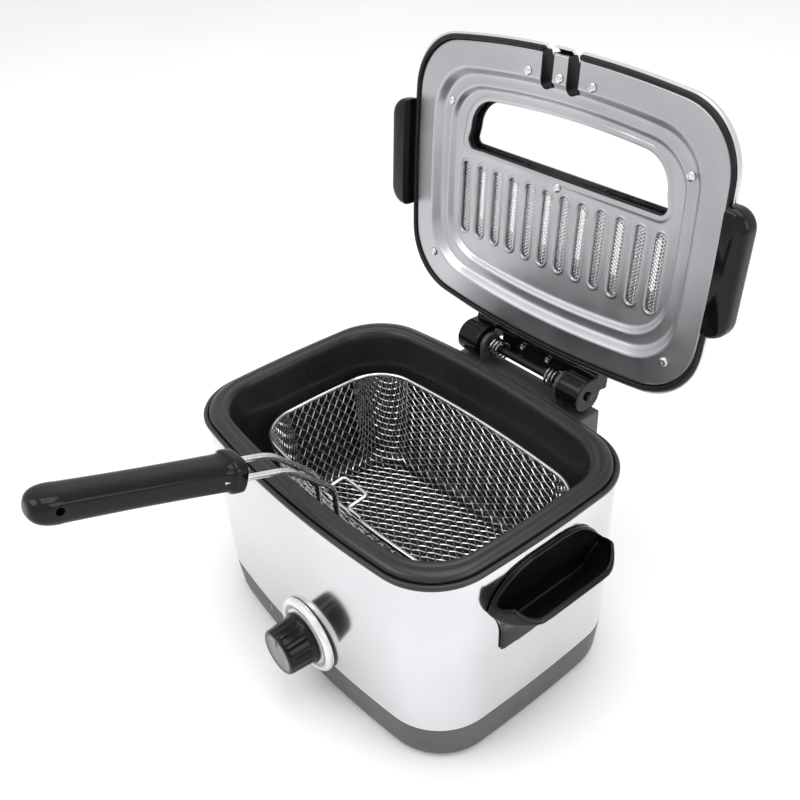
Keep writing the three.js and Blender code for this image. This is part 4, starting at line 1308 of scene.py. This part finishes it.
def build_filter():
    """Fine woven sheet of flattened wires behind the slots."""
    low = BEHIND_PANEL
    half_x = SLOTS * SLOT_PITCH / 2 + 1.6
    front, back = SLOT_FRONT - 2, SLOT_BACK + 4
    mid_y = (front + back) / 2
    half_y = (back - front) / 2
    pitch, wire = 1.9, 0.42
    parts = []
    for family, angle in enumerate((math.radians(38), math.radians(-38))):
        d = Vector((math.cos(angle), math.sin(angle)))
        n = Vector((-d.y, d.x))
        reach = int((abs(n.x) * half_x + abs(n.y) * half_y) / pitch)
        other = math.radians(-38 if family == 0 else 38)
        on = Vector((-math.sin(other), math.cos(other)))
        for m in range(-reach, reach + 1):
            o = n * m * pitch
            t0, t1 = -1e9, 1e9
            for k, h in ((0, half_x), (1, half_y)):
                a, b = sorted(((-h - o[k]) / d[k], (h - o[k]) / d[k]))
                t0, t1 = max(t0, a), min(t1, b)
            if t1 - t0 < 2:
                continue
            gap = pitch / abs(d.dot(on)) / 2
            count = max(2, int((t1 - t0) / gap))
            pts = []
            for i in range(count + 1):
                t = t0 + (t1 - t0) * i / count
                q = o + d * t
                index = q.dot(on) / pitch
                wave = math.cos(math.pi * (index + m + family)) * 0.16
                pts.append((q.x, mid_y + q.y, low + 0.6 + wave))
            parts.append(tube(pts, wire, 4, flat=0.6, seat=[(0, 0, 1)] * len(pts)))
    frame_pts = [(-half_x, front), (half_x, front), (half_x, back), (-half_x, back)]
    edge = eased([(*frame_pts[k % 4], low + 0.6) for k in range(5)], 2.0)
    parts.append(tube(edge, 0.55, 6))
    shape = merged(parts)
    make(
        "filter_weave", shape, M["filter"], "lid", "vent_filter",
        sharp=50, turn=LID_TURN,
    )


build_filter()


def build_window():
    seal_low = BEHIND_PANEL
    glass_low = seal_low + 1.1
    glass_top = glass_low + 3
    outer, inner = window_points(4.2), window_points(-0.75)
    groove, rear = window_points(3.3), window_points(1.5)
    soft = window_points(-0.4)
    profile = [
        (outer, seal_low), (soft, seal_low), (inner, seal_low + 0.3), (inner, seal_low + 0.8),
        (groove, seal_low + 0.8), (groove, glass_top + 0.3), (rear, glass_top + 0.3),
        (rear, glass_top + 1.1), (outer, glass_top + 1.1),
    ]
    rings = [[(x, y, z) for x, y in pts] for pts, z in profile]
    shape = loft(rings, closed=True)
    name, node = "window_seal_ring", "window_seal"
    make(name, shape, M["rubber"], "lid", node, turn=LID_TURN)
    bevel = 0.5
    steps = [(2.4, glass_low), (3.0, glass_low + bevel), (3.0, glass_top - bevel), (2.4, glass_top)]
    pane = [[(x, y, z) for x, y in window_points(grow)] for grow, z in steps]
    verts, faces = loft(pane)
    n = len(pane[0])
    faces.append(tuple(range(n))[::-1])
    faces.append(tuple(3 * n + i for i in range(n)))
    shape = (verts, faces)
    make("window_pane", shape, M["glass"], "lid", "window_glass", turn=LID_TURN)


build_window()


def lid_layer(levels, **how):
    return stack(LID_PLAN, levels, LID_SHIFT, **how)


# The lid cover's height above the rim seat and its inset, from the edge up to the flat top.
COVER_LINE = [(1.6, -2.5), (5.2, -2.3), (8, 0.6), (13, 7.6), (17, 15), (19.8, 23), (21, 32)]


def cover_line(grow):
    return [(LID_SEAT + rise + grow, inset - grow) for rise, inset in COVER_LINE]


def build_cover():
    bends = [0, 3.0, 4.0, 6.0, 6.0, 6.0, 0]
    line = rounded(cover_line(0), bends, 5)
    under = rounded(cover_line(-SHEET), bends, 5)
    low = line[0][0]
    outer = [(low, -2.1), (low + 0.35, -2.48), *line[1:], (LID_SEAT + 21, 45)]
    inner = [(LID_SEAT + 19.8, 45), *reversed(under[1:]), (low, -1.28)]
    top, bottom = lid_layer(outer, cap_last=True), lid_layer(inner, cap_first=True)
    cover = raw("cover_work", merged([top, bottom, lid_layer([inner[-1], outer[0]])]))
    tools = [raw("window_tool", prism(window_points(-2)))]
    for i in range(0, SLOTS, 2):
        x = (i - SLOTS / 2 + 1) * SLOT_PITCH
        y0, y1 = SLOT_FRONT + 8, SLOT_BACK - 8
        tools.append(raw("vent_tool", prism(slot_points(x, y0, y1, 4), 150, 250)))
    for side in (-1, 1):
        tools.append(raw("notch_tool", prism(notch_points(side))))
    boolean(cover, tools)
    adopt(
        cover, "lid_shell", M["lid_steel"], "lid", "lid_cover",
        sharp=40, turn=LID_TURN,
    )

    # Gasket: a thin rolled lip all round, open at the notches.
    g0, g1 = LID_SEAT, LID_SEAT + 3.6
    levels = [(g0 + 0.9, 1.8), (g0 + 0.3, 1.5), (g0, 0.8), (g0, 0.0), (g0 + 0.3, -0.6)]
    levels += [(g0 + 0.9, -0.95), (g1, -1.0), (g1, 1.8)]
    ring_ob = raw("gasket_work", lid_layer(levels, closed=True))
    half = NOTCH_X + NOTCH_WIDTH / 2
    front = -LID_HALF_Y
    boolean(ring_ob, [raw("gap_tool", block(-half, half, front - 30, front + 30))])
    adopt(ring_ob, "gasket_lip", M["rubber"], "lid", "lid_gasket", turn=LID_TURN)

    # Dark guides that line the two notches from behind the plate.
    parts = []
    for side in (-1, 1):
        x = side * NOTCH_X
        pts = slot_points(x, front - 1.0, NOTCH_END - 0.1, NOTCH_WIDTH - 0.2, 12)
        inner_pts = slot_points(x, front - 1.0, NOTCH_END - 0.5, NOTCH_WIDTH - 1.4, 12)
        # Only the closed end and the two sides are kept, the front stays open.
        keep = [i for i, (_, y) in enumerate(pts) if y > front + 3]
        start = [i for i in keep if (i - 1) % len(pts) not in keep][0]
        order = [(start + k) % len(pts) for k in range(len(keep))]
        verts, faces = [], []
        z0 = PLATE_LOW + 0.2
        insets = inset_at(np.array(pts) - [0, LID_SHIFT], LID_PLAN)
        rises, line_insets = zip(*COVER_LINE)
        tops = LID_SEAT + np.interp(insets, line_insets, rises) - 0.4
        for i in order:
            z1 = tops[i]
            for (x, y), z in ((pts[i], z0), (pts[i], z1), (inner_pts[i], z1), (inner_pts[i], z0)):
                verts.append(P(x, y, z))
        for k in range(len(order) - 1):
            for j in range(4):
                a, b = 4 * k + j, 4 * k + (j + 1) % 4
                faces.append((a, b, b + 4, a + 4))
        faces.append((0, 1, 2, 3))
        e = 4 * (len(order) - 1)
        faces.append((e + 3, e + 2, e + 1, e))
        parts.append((verts, faces))
    shape = merged(parts)
    make("notch_guides", shape, M["matte"], "lid", None, turn=LID_TURN)


build_cover()


def build_ears():
    """Rounded grips on the lid's short sides, their section a soft D."""
    low = LID_SEAT - 8.3
    inner = HALF_X + 2.5 - 6
    outer = HALF_X + 2.5 + 14.5
    length, corner, height = 77.0, 12.0, 14.0
    shift = LID_SHIFT - 3.3
    rings = []
    for t in np.linspace(0, 1, 25):
        bulge = abs(2 * t - 1)
        inset = 4.2 * (1 - math.sqrt(max(1 - bulge**3.2, 0)))
        z = low + height * t
        cr = corner - inset * 0.5
        half = length / 2 - inset
        edge = [(inner, -half)]
        edge += quarter_arc(outer - inset - cr, -half + cr, cr, -math.pi / 2, 18)
        edge += quarter_arc(outer - inset - cr, half - cr, cr, 0, 18)
        edge.append((inner, half))
        rings.append([(x, y + shift, z) for x, y in edge])
    ear = raw("ear_work", loft(rings, cap_first=True, cap_last=True))
    levels = [(low - 5, -2.8), *cover_line(FIT_GAP), (LID_SEAT + 26, 31.7)]
    boolean(ear, [raw("cover_volume", lid_layer(levels, cap_first=True, cap_last=True))])
    for side, me in mirrored_pair(ear):
        me.transform(LID_TURN)
        place(me, "lid_grip_" + side, M["gloss"], "lid", "lid_ear_" + side, sharp=40)


build_ears()


def screw_head(node, steps, count):
    """Screw head in a lid node's place, from (radius, end, rise) steps in the closed pose."""
    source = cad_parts[node].data
    pts = np.array([LID_TURN.inverted() @ v.co for v in source.vertices])
    lo, hi = pts.min(axis=0), pts.max(axis=0)
    cx, cy = (lo[0] + hi[0]) / 2 / MM, ((lo[1] + hi[1]) / 2 - BODY_Y) / MM
    ends = {"low": lo[2] / MM, "top": hi[2] / MM}
    rings = turned(cx, cy, [(r, ends[end] + rise) for r, end, rise in steps], count)
    shape = loft(rings, cap_first=True, cap_last=True)
    make(node + "_head", shape, M["chrome"], "lid", node, turn=LID_TURN)


def build_lid_screws():
    steps = [(3.0, "top", 0), (3.0, "top", -0.25), (2.75, "top", -0.7), (2.2, "low", 0.2)]
    steps += [(1.4, "low", 0.02), (1.2, "low", 0.05), (1.1, "low", 0.45)]
    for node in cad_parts:
        if node.startswith("lid_screw_"):
            screw_head(node, steps, 32)


build_lid_screws()


# ------------------------------------------------------------------ hinge
def from_node(node, name, material, body, voxel, rounds, sharp=60):
    """Same solid as the CAD node with its edges rounded."""
    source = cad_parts[node]
    ob = add_object(name + "_work", source.data.copy())
    soften(ob, voxel, rounds)
    return adopt(ob, name, material, body, node, sharp)


def build_hinge():
    from_node("hinge_bracket", "bracket", M["bracket"], "housing", 0.8, 4)
    from_node("lid_hinge_block", "hinge_block", M["gloss"], "lid", 0.8, 4)
    from_node("cord_gland", "gland", M["matte"], "housing", 0.5, 3)
    from_node("handle_socket", "socket", M["chrome"], "basket", 0.35, 2)
    # Pin with a turned end.
    half = pin_hi.x / MM
    r = (pin_hi.z - pin_lo.z) / 2 / MM - 0.01
    steps = [(-half, r - 0.6), (-half + 0.4, r), (half - 0.4, r), (half, r - 0.6)]
    rings = [
        [(x, HINGE_Y + radius * c, HINGE_Z + radius * s) for c, s in circle(40)]
        for x, radius in steps
    ]
    shape = loft(rings, cap_first=True, cap_last=True)
    make("pin", shape, M["matte"], "housing", "hinge_pin")
    for node, side in (("torsion_spring_left", -1), ("torsion_spring_right", 1)):
        pts = []
        turns, pitch, mean = 3, 3.0, 6.2
        for i in range(turns * 28 + 1):
            t = i / (turns * 28)
            a = t * turns * 2 * math.pi
            x = side * (21.5 + t * turns * pitch)
            pts.append((x, HINGE_Y + mean * math.sin(a), HINGE_Z - mean * math.cos(a)))
        shape = tube(pts, 0.88, 10)
        make(node + "_coil", shape, M["spring"], "housing", node)
    steps = [(2.6, "top", 0), (2.6, "top", -0.5), (2.2, "low", 0.25), (1.3, "low", 0.02)]
    steps += [(1.1, "low", 0.1), (1.0, "low", 0.6)]
    for node in ("hinge_screw_left", "hinge_screw_right"):
        screw_head(node, steps, 28)


build_hinge()


# ------------------------------------------------------------------ carried-over CAD nodes
for node, look in (
    ("heating_element", "chrome"),
    ("thermostat_body", "matte"),
    ("thermostat_shaft", "chrome"),
):
    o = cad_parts[node]
    o.data.materials.clear()
    o.data.materials.append(M[look])


# ------------------------------------------------------------------ stage and light
def build_stage():
    m, tree, shader = new_material("floor_white")
    coords = tree.nodes.new("ShaderNodeTexCoord").outputs["Object"]
    tone = noise(tree, coords, 3, 2)
    colour = ramp(tree, tone, [(0.3, grey(0.90)), (0.7, grey(0.93))])
    tree.links.new(colour, shader.inputs["Base Color"])
    shader.inputs["Roughness"].default_value = 0.65
    size, depth = 6.0, -0.0004
    n = 12
    verts, faces = [], []
    for j in range(n + 1):
        for i in range(n + 1):
            verts.append(((i / n - 0.5) * size, (j / n - 0.5) * size, depth))
    for j in range(n):
        for i in range(n):
            a = j * (n + 1) + i
            faces.append((a, a + 1, a + n + 2, a + n + 1))
    me = bpy.data.meshes.new("floor")
    me.from_pydata(verts, [], faces)
    me.materials.append(m)
    floor = add_object("floor", me)

    world = bpy.data.worlds.new("studio")
    world.use_nodes = True
    bg = world.node_tree.nodes["Background"]
    bg.inputs["Color"].default_value = (1, 1, 1, 1)
    bg.inputs["Strength"].default_value = 0.85
    bpy.context.scene.world = world

    def area(name, place_at, look_at, size, power):
        data = bpy.data.lights.new(name, "AREA")
        data.energy = power
        data.shape = "RECTANGLE"
        data.size, data.size_y = size
        ob = add_object(name, data)
        direction = Vector(look_at) - Vector(place_at)
        ob.rotation_euler = direction.to_track_quat("-Z", "Y").to_euler()
        ob.location = place_at

    area("key", (-0.5, -1.1, 1.5), (0, 0, 0.1), (1.2, 1.0), 10.5)
    area("side", (1.5, 0.4, 0.9), (0, 0, 0.12), (1.0, 1.0), 6.5)
    area("top", (0.1, 0.3, 1.9), (0, 0, 0.1), (1.6, 1.2), 14)


build_stage()

scene = bpy.context.scene
scene.view_settings.view_transform = "Standard"
scene.view_settings.look = "None"
scene.view_settings.exposure = 0.0
